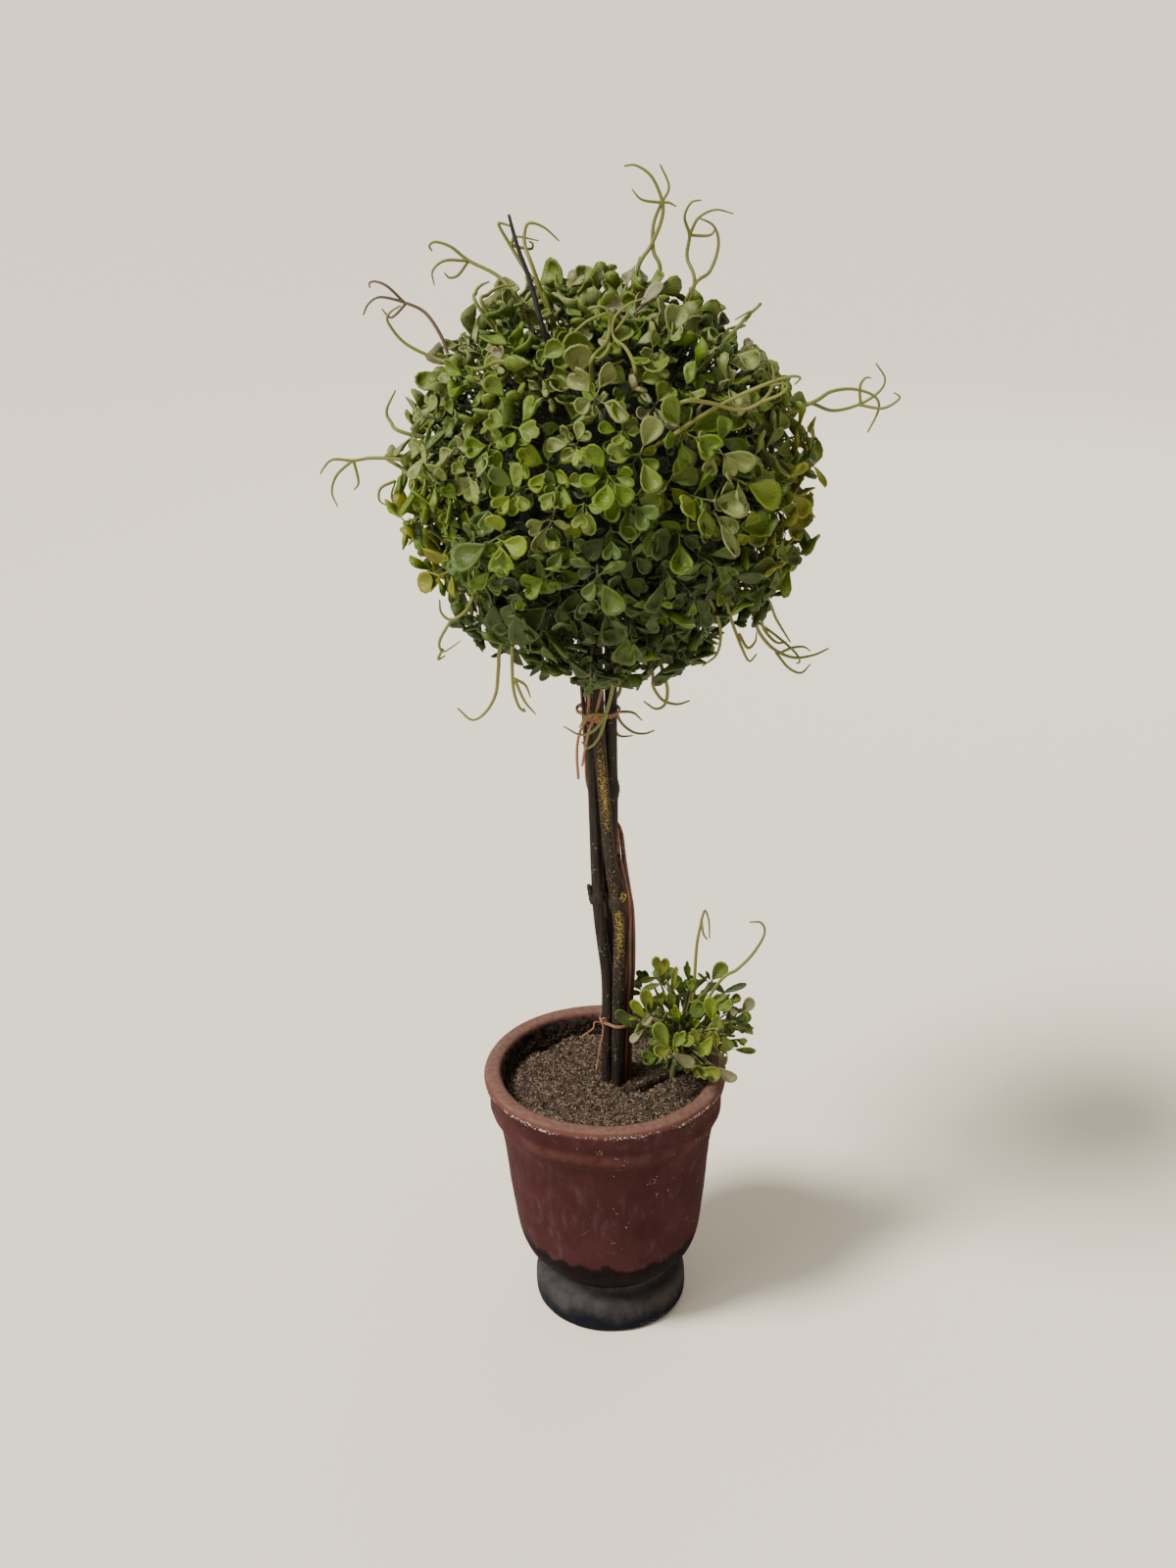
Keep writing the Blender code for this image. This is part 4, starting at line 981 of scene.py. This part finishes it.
def sunk_at(x, y):
    """Depth of the hollows and of the groove under the step, in metres."""
    aside, window = crack_at(x, y)
    depth = window * 0.0034 * math.exp(-((aside - 0.0007) / 0.0009) ** 2)
    for middle_x, middle_y, width, deep in HOLLOWS:
        far = math.hypot(x * 1000 - middle_x, y * 1000 - middle_y) / width
        depth += 0.001 * deep * math.exp(-far**2)
    return depth


def fill_height(x, y):
    """The filler's surface: it falls at the wall, more at the back and left, with a broken step."""
    far = math.hypot(x - POT_LEAN * FILL_TOP, y) / FILL_RADIUS
    sunk = max(0.0, min(1.0, (far - 0.84) / 0.14)) * max(0.0, -0.75 * x + 0.66 * y) / MOUTH_RADIUS
    rise = FILL_TOP - 0.0020 * far**3 - 0.0022 * sunk
    for height, scale, shift in ((0.0011, 75, 0.0), (0.0010, 260, 2.0), (0.0005, 700, 5.0)):
        rise += height * rough_at((x, y, 0), scale, shift)
    aside, window = crack_at(x, y)
    step = 1 / (1 + math.exp(max(-40, min(40, aside / 0.0003))))
    return rise + window * CRACK_STEP * (step - 0.5) * math.exp(-(aside / 0.012) ** 2) - sunk_at(x, y)


def on_filler(radius, turn):
    return radius * math.cos(turn) + POT_LEAN * FILL_TOP, radius * math.sin(turn)


def build_filler():
    """The sandy crust with its side and underside."""
    points = [(*on_filler(radius, turn), FILL_TOP - FILL_SIDE)
              for radius in (FILL_RADIUS / 1000, FILL_RADIUS) for turn in turns(FILL_SIDES)]
    for ring in range(FILL_RINGS, -1, -1):
        for turn in turns(FILL_SIDES):
            place = on_filler(max(FILL_RADIUS * ring / FILL_RINGS, 0.00001), turn)
            points.append((*place, fill_height(*place)))
    crust = filler_material("sandy_crust", (0.034, 0.023, 0.016), (0.100, 0.070, 0.049))
    faces = wall_faces(FILL_RINGS + 3, FILL_SIDES)
    add_piece("filler_crust", points, faces, crust, "pot_filler", "pot_fill")


def add_crumb(pile, chance, x, y, size, longer=1.0, lift=0.0):
    """A crumb that lies on the crust, turned at random and drawn out along its length."""
    shape, faces = pebble(4)
    warp = vec([jitter(chance, 0.3) for _ in range(3)]) + np.eye(3)
    turned = Matrix.Rotation(chance.uniform(0, 6.3), 3, "Z") @ Matrix.Rotation(chance.gauss(0, 0.35), 3, "Y")
    drawn = (shape @ warp) * vec((size * longer, size, size)) @ vec(turned).T
    pile.add(drawn + vec((x, y, fill_height(x, y) + size * 0.3 + lift)), faces)


def build_grains():
    """Pale fibres and dark crumbs: dark in the hollows and the crack as painted shade, on the wall at the
    left and back as residue and painted shade, and a third elsewhere dark at random.
    """
    chance = random.Random(SEED + 7)
    pale, dark = Pile(), Pile()
    for _ in range(LOOSE_CRUMBS):
        radius = (FILL_RADIUS - 0.0005) * math.sqrt(chance.random())
        x, y = on_filler(radius, chance.uniform(0, 2 * math.pi))
        # Crumbs in the hollows are dark as painted shade.
        shaded = sunk_at(x, y) > 0.0008 * chance.random() + 0.0002 or chance.random() < 0.33
        size, lift = chance.uniform(0.00020, 0.00046), chance.uniform(0.0, 0.0005)
        add_crumb(dark if shaded else pale, chance, x, y, size, chance.uniform(1.4, 3.8), lift)
    # Dark crumbs in the groove under the step: painted shade.
    for _ in range(CRACK_CRUMBS):
        share = chance.uniform(-0.05, 1.05)
        place = CRACK_START.lerp(CRACK_END, share) + Vector([chance.gauss(0, 0.0012) for _ in range(2)])
        if sunk_at(*place) > 0.0008:
            add_crumb(dark, chance, *place, chance.uniform(0.0003, 0.0005))
    # Dark crumbs on the wall at the left and back: residue and painted shade.
    for _ in range(WALL_CRUMBS):
        turn = chance.gauss(math.radians(150), 0.75)
        place = on_filler(FILL_RADIUS - chance.uniform(0.0, 0.0012), turn)
        lift = min(abs(chance.gauss(0, 0.0022)), 0.0055)
        add_crumb(dark, chance, *place, chance.uniform(0.0003, 0.0006), 1.4, lift)
    for name, pile, *tones in (("grains_pale", pale, (0.128, 0.086, 0.058), (0.29, 0.208, 0.146)),
                               ("grains_dark_and_shade", dark, (0.018, 0.012, 0.008), (0.060, 0.040, 0.028))):
        pile.build(name, filler_material(name, *tones), "pot_filler").data.shade_flat()


# Leaves

STALK = 0.24
STALK_LINE = ((0, -0.02, 0), (0, STALK * 0.6, -0.012), (0, STALK * 1.25, -0.060), (0, 0.72, -0.200))
LEAF_MIDDLE = 0.68
# Rings of a blade from its edge inwards, by scale and height, then the height of its middle
TOP_RINGS = ((1.0, 0.0), (0.90, 0.072), (0.72, -0.045), (0.38, -0.140))
PLAIN_RINGS = ((1.0, 0.0), (0.86, 0.060), (0.52, -0.110))
TOP_CENTRE = -0.155
LOW_CENTRE = -0.235
PLAIN_COUNT = 10
# Kinds of leaf: length and width in metres, how the blade tapers, points round its edge
KINDS = {"spoon": (0.0176, 0.0094, 0.66, 14), "oval": (0.0156, 0.0066, 0.40, 12),
         "heart": (0.0132, 0.0096, 0.70, 18), "clover": (0.0126, 0.0090, 0.60, 20)}
KIND_SHARES = {"spoon": 0.46, "oval": 0.14, "heart": 0.26, "clover": 0.14}
# How leaves vary: size with its usual one, width, and in radians how they bend, twist and cup
SIZES = (0.42, 1.20, 0.80)
WIDTHS = (0.88, 1.1)
BENDS = (0.12, 0.75)
TWISTS = (-0.9, 0.9)
CUPS = (0.02, 0.20)
# A spray: how far it stops short of the ball and how far its leaves pass it, how they lean from its
# twig, how they turn away from below, and the smaller ones further in
SHORT_BY = (0.0015, 0.0165)
PAST_BALL = (-0.003, 0.0045)
TOP_LEAN, SIDE_LEAN, LARGEST_LEAN = (0.30, 1.15), (0.60, 1.35), 1.7
LEAF_STEP = 0.0016
TURN_AWAY = 0.70
LOW_BACK = (0.008, 0.022)
LOW_SIZE = 0.72
DOWN = Vector((0, 0, -1))


def blade_edge(kind, count):
    """Across and along of a blade's edge from its base, for a leaf one wide and one long."""
    turn = turns(count)
    along = 0.5 - 0.5 * np.cos(turn)
    across = np.sin(turn) * along ** KINDS[kind][2]
    if kind == "heart":
        across = np.sin(turn) ** 3
        along = (17 - np.cos(np.outer(turn, (1, 2, 3, 4))) @ (13, 5, -2, 1)) / 29.3
    if kind == "clover":
        from_tip = np.abs(turn - np.pi)
        dents = 1 - 0.26 * np.exp(-((from_tip - 0.62) / 0.20) ** 2) + 0.10 * np.exp(-(from_tip / 0.25) ** 2)
        across, along = across * dents, 0.5 + (along - 0.5) * dents
    return across * 0.5 / np.abs(across).max(), STALK + (1 - STALK) * along


@functools.lru_cache(maxsize=None)
def leaf_template(kind, plain):
    """Points, triangles and map of a leaf: a blade with a raised rim, dished, over a thin stalk."""
    rings, count = (PLAIN_RINGS, PLAIN_COUNT) if plain else (TOP_RINGS, KINDS[kind][3])
    across, along = blade_edge(kind, count)
    rows = [np.column_stack([across * scale, LEAF_MIDDLE + (along - LEAF_MIDDLE) * scale,
                             np.full(count, height)]) for scale, height in rings]
    for row in rows[2:]:
        row[np.abs(row[:, 0]) < 1e-6, 2] -= 0.022
    stalk, stalk_faces = tube(STALK_LINE, (0.055, 0.044, 0.040, 0.014), 3)
    points = np.vstack([*rows, (0, LEAF_MIDDLE, TOP_CENTRE), (0, LEAF_MIDDLE, LOW_CENTRE), stalk])
    centre = len(rings) * count
    faces = np.vstack([wall_faces(len(rings), count), fan(centre - count, count, centre),
                       fan(0, count, centre + 1, turned=True), stalk_faces + centre + 2])
    return points, faces, np.column_stack([points[:, 0] + 0.5, points[:, 1]])


def add_leaf(pile, leaf, plain=False):
    """A leaf bent along its length. It leaves its twig at the start angle from hang, towards out."""
    points, faces, marks = leaf_template(leaf.kind, plain)
    across, along, rise = points.T[:, :, None]
    angle = leaf.start + leaf.bend * along
    spine = ((np.sin(angle) - math.sin(leaf.start)) * leaf.hang
             + (math.cos(leaf.start) - np.cos(angle)) * leaf.out) / leaf.bend
    normal = np.sin(angle) * leaf.hang - np.cos(angle) * leaf.out
    side = np.cross(leaf.out, leaf.hang)
    roll = leaf.twist * along
    turned_side = np.cos(roll) * side + np.sin(roll) * normal
    turned_up = np.cos(roll) * normal - np.sin(roll) * side
    lift = rise + leaf.cup * (2 * across) ** 2
    blade = across * turned_side + lift * turned_up
    pile.add(leaf.root + leaf.length * spine + leaf.width * blade, faces, marks)


def deal(shares, chance):
    """One name, drawn by its share."""
    draw = chance.random() * sum(shares.values())
    for name, share in shares.items():
        draw -= share
        if draw <= 0:
            return name
    return name


def new_leaf(chance, root, hang, out, start, scale=1.0):
    kind = deal(KIND_SHARES, chance)
    length, width, _, _ = KINDS[kind]
    size = scale * chance.triangular(*SIZES)
    return SimpleNamespace(kind=kind, root=vec(root), hang=unit(hang), out=unit(out), start=start,
                           length=length * size, width=width * size * chance.uniform(*WIDTHS),
                           bend=chance.uniform(*BENDS), twist=chance.uniform(*TWISTS),
                           cup=chance.uniform(*CUPS))


def leaf_tip(leaf):
    angle = leaf.start + leaf.bend * 0.6
    return leaf.root + leaf.length * (math.cos(angle) * leaf.hang + math.sin(angle) * leaf.out)


def level_out(hang):
    """A direction square to hang that points as far down as it can."""
    down = DOWN - hang * hang.dot(DOWN)
    return (hang.orthogonal() if down.length < 0.15 else down).normalized()


def direction(tilt, turn):
    """A direction by its angle from straight up and its angle round."""
    return Vector((math.sin(tilt) * math.cos(turn), math.sin(tilt) * math.sin(turn), math.cos(tilt)))


def sphere_directions(count, chance):
    """Directions spread evenly over a sphere on a golden spiral, each nudged a little."""
    for index in range(count):
        rise = 1 - 2 * (index + 0.5) / count
        turn = GOLDEN * index
        flat = math.sqrt(1 - rise * rise)
        way = Vector((flat * math.cos(turn), flat * math.sin(turn), rise))
        yield (way + jitter(chance, 1) * 0.6 / math.sqrt(count)).normalized()


def on_ball(way, radius):
    return BALL_CENTRE + Vector((way.x, way.y, way.z * BALL_SQUASH)) * radius


def spray(way, chance):
    """The source's sprig rule with finer twigs: a twig out from the core that droops, leaves
    round its last stretch by the golden angle, and smaller ones further in.
    """
    start = on_ball(way, INNER_CORE - ROOT_DEPTH)
    hang = (way + DOWN * DROOP * (1 - way.z) / 2).normalized()
    reach = BALL_RADIUS - chance.uniform(*SHORT_BY) - 0.004 * max(way.z, 0.0)
    end = on_ball(way, reach) + (hang - way) * 0.012
    down = level_out(hang)
    turn = chance.uniform(0, 2 * math.pi)
    size = chance.uniform(0.85, 1.18)
    leaves = []
    for index in range(SPRAY_LEAVES + LOW_LEAVES):
        low = index >= SPRAY_LEAVES
        angle = turn + GOLDEN * index
        angle -= TURN_AWAY * math.sin(angle) * (1 - max(way.z, 0.0))
        out = Matrix.Rotation(angle, 3, hang) @ down
        back = chance.uniform(*LOW_BACK) if low else LEAF_STEP * index
        root = end - (end - start).normalized() * back
        lean = chance.uniform(*(TOP_LEAN if way.z > 0.55 else SIDE_LEAN))
        leaf = new_leaf(chance, root, hang, out, lean, size * (LOW_SIZE if low else 1.0))
        if way.z > 0.5:
            leaf.twist *= 2.0
            leaf.length *= 0.90
        limit = BALL_RADIUS + chance.uniform(*PAST_BALL)
        while (leaf_tip(leaf) - vec(BALL_CENTRE)) @ vec(way) > limit and leaf.start < LARGEST_LEAN:
            leaf.start += 0.15
        leaves.append((low, leaf))
    return start, end, leaves


def near_trunk(point):
    """True where a leaf or twig would touch the canes or the twine on them."""
    return point.z < BALL_CENTRE.z and math.hypot(point.x - BUNDLE_MIDDLE, point.y) < TRUNK_CLEAR


def near_stick(point):
    start = BALL_CENTRE + mm(*STICK_FOOT)
    along = BALL_CENTRE + mm(*STICK_TIP) - start
    share = max(0.0, min(1.0, (point - start).dot(along) / along.length_squared))
    return (point - start - along * share).length < STICK_CLEAR


def near_pot(point):
    """True in the pot's wall or rim, and on or under the filler."""
    radius = math.hypot(point.x - POT_LEAN * point.z, point.y)
    if radius > RIM_RADIUS + 0.0015 or point.z > POT_HEIGHT + 0.0012:
        return False
    return radius > MOUTH_RADIUS - 0.003 or point.z < FILL_TOP + 0.0020


def blocked(points, *near):
    """True where any of the points is near one of the parts."""
    return any(test(point) for point in points for test in near)


def leaf_places(leaf):
    return [Vector(leaf.root + (leaf_tip(leaf) - leaf.root) * share) for share in (0.3, 0.65, 1.0)]


def twig_line(start, end, chance, sag=0.0015):
    """A twig with a slight bow."""
    return smooth_line([start, start.lerp(end, 0.55) + jitter(chance, sag), end], 5)


def build_leaves(piles, name, node):
    for tint, pile in piles.items():
        if pile.points:
            pile.build(f"{name}_leaves_{tint}", leaf_material(tint), "leaf", node)


def tint_at(way, chance):
    """A tint by the height on the ball, darker low down as painted shade; the lighter zones reach lower at
    its left and right as painted light, where there are olive leaves too.
    """
    low, high = OLIVE_LEFT if way.x < 0 else OLIVE_RIGHT
    if abs(way.x) > OLIVE_SIDES and low < way.z < high and chance.random() < OLIVE_SHARE:
        return "olive"
    height = way.z + SIDE_DROP * max(0.0, abs(way.x) - 0.5)
    for start, shares in TINT_SHARES:
        if height > start:
            return deal(shares, chance)


def build_ball():
    chance = random.Random(SEED)
    piles = {tint: Pile() for tint in TINTS}
    twigs = Pile()
    for way in sphere_directions(SPRAYS, chance):
        start, end, leaves = spray(way, chance)
        tint = tint_at(way, chance)
        if blocked([end], near_trunk, near_stick):
            continue
        twigs.tube(twig_line(start, end, chance), np.linspace(0.00075, 0.00045, 6), 5)
        for low, leaf in leaves:
            if blocked(leaf_places(leaf), near_trunk, near_stick):
                continue
            shown = tint if chance.random() < 0.6 else tint_at(way, chance)
            add_leaf(piles["shade" if low and chance.random() < 0.6 else shown], leaf, low)
    build_leaves(piles, "ball", "ball_foliage")
    add_thicket(twigs, chance)
    twigs.build("ball_twigs", stem_material("leaf_stems", (0.060, 0.085, 0.028)), "leaf", "ball_foliage")


def add_thicket(pile, chance):
    """Thin bare stems inside the ball, between the sprays."""
    for way in sphere_directions(THICKET_STEMS, chance):
        start = on_ball(way, INNER_CORE - 0.002)
        aim = (way + jitter(chance, 0.5)).normalized()
        end = on_ball(way, chance.uniform(*THICKET_REACH)) + (aim - way) * 0.014
        if not blocked([start, end], near_trunk):
            pile.tube(twig_line(start, end, chance, 0.003), np.linspace(0.00042, 0.00024, 6), 3)


def build_core():
    """The dark heart of the ball, painted shade that stands for the shaded stems inside: a lumpy mass clear
    of the canes.
    """
    rows, sides = 44, 70
    points = []
    for tilt in np.linspace(0, math.pi, rows + 1):
        for way in [direction(tilt, turn) for turn in turns(sides)]:
            lumps = 1 + 0.10 * noise.noise(way * 6) + 0.09 * noise.noise(way * 17)
            points.append(on_ball(way, INNER_CORE * lumps))
    add_piece("ball_core", points, wall_faces(rows + 1, sides)[:, ::-1],
              stem_material("core_stems_and_shade", (0.018, 0.026, 0.010), 0.8), "leaf", "ball_foliage")


# Tendrils


def routed(route, root_y, tip_y):
    """A route of x and z places in metres, its y running from root to tip over the first stretch."""
    flat = vec(route).reshape(-1, 2)
    far = travelled(flat)
    depth = root_y + (tip_y - root_y) * np.minimum(1.0, far / far[-1] / FULL_DEPTH)
    return np.column_stack([flat[:, 0], depth, flat[:, 1]]) / 1000


def add_tendril(pile, entry, centre=BALL_CENTRE, crown=None, turn=0.0):
    """Stems from the crown, or else from the ball's core, and prongs that leave them."""
    root_y, tip_y, stems, prongs = entry
    rotate = vec(Matrix.Rotation(math.radians(turn), 3, "Z"))
    lines = []
    for route in stems:
        places = routed(route, root_y, tip_y)
        start = crown or unit(places[0]) * (CORE_RADIUS - ROOT_DEPTH)
        lines.append((np.vstack([start, places]), STEM_WIDTH))
    for number, route in enumerate(prongs):
        lines.append((routed(route, tip_y, tip_y + (number % 3 - 1) * PRONG_DEPTH), PRONG_WIDTH))
    for places, width in lines:
        line = smooth_line(places, 9 * len(places)) @ rotate.T + vec(centre)
        share = np.linspace(0, 1, len(line))
        pile.tube(line, TENDRIL_RADIUS * width * (1 - TENDRIL_TAPER * share**2), 6)


def build_tendrils():
    green, brown, clump = Pile(), Pile(), Pile()
    for number, entry in enumerate(TENDRILS):
        add_tendril(brown if number in BROWN_TENDRILS else green, entry)
    for index, turn in BACK_TURNS:
        add_tendril(green, TENDRILS[index], turn=turn)
    for entry in CLUMP_TENDRILS:
        add_tendril(clump, entry, Vector(), CLUMP_CROWN)
    olive = stem_material("tendril_olive", (0.155, 0.160, 0.030), 0.5)
    green.build("ball_tendrils", olive, "leaf", "ball_foliage")
    brown.build("brown_tendrils", stem_material("tendril_brown", (0.120, 0.078, 0.045), 0.55), "leaf",
                "ball_foliage")
    clump.build("clump_tendrils", olive, "leaf", "clump_foliage")


# Clump


def clump_spray(number, chance):
    """The clump's rule with finer twigs: one leans out from the crown, with leaves in pairs up it
    and a few at its end.
    """
    tilt = math.acos(1 - 0.92 * (number + 0.5) / CLUMP_SPRAYS)
    way = direction(tilt, GOLDEN * number + chance.uniform(-0.3, 0.3))
    way = (way + CLUMP_LEAN).normalized()
    start = CLUMP_CROWN.lerp(CLUMP_FOOT, 0.30 * number / CLUMP_SPRAYS)
    end = start + way * CLUMP_REACH * chance.uniform(0.75, 1.12) * (0.55 + 0.45 * min(1.0, tilt / 0.75))
    side = way.cross(Vector((0, 0, 1))).normalized()
    over = side.cross(way).normalized()
    leaves = []
    for share, sides in ((0.55, (-1, 1)), (0.92, (-1, 1, 0))):
        for hand in sides:
            roll = chance.uniform(-0.7, 0.7)
            out = (side * math.cos(roll) + over * math.sin(roll)) * hand + DOWN * 0.25 if hand else -over
            out = (out - way * out.dot(way)).normalized()
            root = start.lerp(end, share + 0.04 * hand)
            leaves.append(new_leaf(chance, root, way, out, chance.uniform(0.3, 0.8) if hand else 0.15, 0.78))
    return start, end, leaves


def add_set_leaf(piles, twigs, entry, number):
    """A leaf from its foot to its tip, its face to the front, on a thin stalk from the crown."""
    kind, tint, x, y, z, tip_x, tip_z, width = entry
    foot, tip = mm(x, y, z), mm(tip_x, y - TIP_FORWARD, tip_z)
    along = (tip - foot).normalized()
    facing = Vector((0.12 * math.sin(number * 2.4) - 0.20, -0.85, 0.50 + 0.25 * math.sin(number * 1.7)))
    facing = (facing - along * facing.dot(along)).normalized()
    length = (tip - foot).length / (1 - STALK)
    root = foot - along * length * STALK
    add_leaf(piles[tint], SimpleNamespace(
        kind=kind, root=vec(root), hang=vec(along), out=-vec(facing), length=length, width=width / 1000,
        start=-0.2, bend=0.45, twist=0.35 * math.sin(number * 3.1), cup=0.06 + 0.05 * math.sin(number)))
    start = CLUMP_CROWN.lerp(CLUMP_FOOT, 0.3 + 0.3 * math.sin(number))
    bow = start.lerp(root, 0.5) + Vector((0, 0, 0.004))
    stalk = smooth_line([start, bow, root, root.lerp(foot, 0.5)], 10)
    twigs.tube(stalk, np.linspace(0.0009, 0.00035, 11), 6)


def build_clump():
    chance = random.Random(SEED + 1)
    piles = {tint: Pile() for tint in TINTS}
    twigs = Pile()
    for number in range(CLUMP_SPRAYS):
        start, end, leaves = clump_spray(number, chance)
        tint = deal(CLUMP_SHARES, chance)
        if blocked([start.lerp(end, 0.5), end], near_pot, near_trunk):
            continue
        twigs.tube(twig_line(start, end, chance), np.linspace(0.0008, 0.0004, 6), 6)
        for leaf in leaves:
            if not blocked(leaf_places(leaf), near_pot, near_trunk):
                add_leaf(piles[tint], leaf)
    for number, entry in enumerate(CLUMP_LEAVES):
        add_set_leaf(piles, twigs, entry, number)
    stem = smooth_line([CLUMP_FOOT - CLUMP_SUNK, CLUMP_FOOT, CLUMP_CROWN], 10)
    twigs.tube(stem, np.linspace(CLUMP_STEM, 0.0012, 11), 10)
    build_leaves(piles, "clump", "clump_foliage")
    twigs.build("clump_twigs", stem_material("clump_stems", (0.15, 0.16, 0.055)), "leaf", "clump_foliage")


# Stage

LENS = 46.1
EYE = (-0.0089, -0.809, 0.637)
PITCH = 24.2
ROLL = -0.6
FLOOR_HALF = 60.0
DAYLIGHT = (-0.95, -0.48, 1.38)


def add_camera():
    lens = bpy.data.cameras.new("camera")
    lens.lens = LENS
    lens.clip_start, lens.clip_end = 0.01, 100
    camera = add_object("camera", lens)
    camera.matrix_world = (Matrix.Translation(EYE) @ Matrix.Rotation(math.radians(90 - PITCH), 4, "X")
                           @ Matrix.Rotation(math.radians(ROLL), 4, "Z"))
    bpy.context.scene.camera = camera


def add_light(name, kind, place, aim, **settings):
    lamp = bpy.data.lights.new(name, kind)
    for key, value in settings.items():
        setattr(lamp, key, value)
    made = add_object(name, lamp)
    made.location = place
    made.rotation_euler = (Vector(aim) - Vector(place)).to_track_quat("-Z", "Y").to_euler()


def add_stage():
    """A plain pale floor and soft daylight from the upper left."""
    mesh = bpy.data.meshes.new("floor")
    mesh.from_pydata([(x * FLOOR_HALF, y * FLOOR_HALF, 0) for x, y in ((-1, -1), (1, -1), (1, 1), (-1, 1))],
                     [], [(0, 1, 2, 3)])
    mesh.materials.append(Look("pale_floor", Base_Color=(0.96, 0.88, 0.72), Roughness=0.9).material)
    add_object("floor", mesh)
    add_light("daylight", "SUN", DAYLIGHT, (0, 0, 0), energy=4.5, angle=math.radians(16),
              color=(1.0, 0.985, 0.945))
    disk = {"shape": "DISK", "size": 1.4}
    add_light("window", "AREA", (-1.5, -1.2, 1.5), (0, 0, 0.3), energy=12, color=(1.0, 0.985, 0.96), **disk)
    add_light("rear", "AREA", (0.6, 1.5, 1.1), (0, 0, 0.35), energy=6, color=(1.0, 0.96, 0.88), **disk)
    world = bpy.data.worlds.new("room")
    world.use_nodes = True
    background = world.node_tree.nodes["Background"].inputs
    background["Color"].default_value = (1.0, 0.945, 0.855, 1.0)
    background["Strength"].default_value = 0.44
    bpy.context.scene.world = world


build_pot()
build_filler()
build_grains()
build_canes()
build_lichen()
build_vines()
build_twine()
build_stick()
build_ball()
build_core()
build_tendrils()
build_clump()
add_camera()
add_stage()
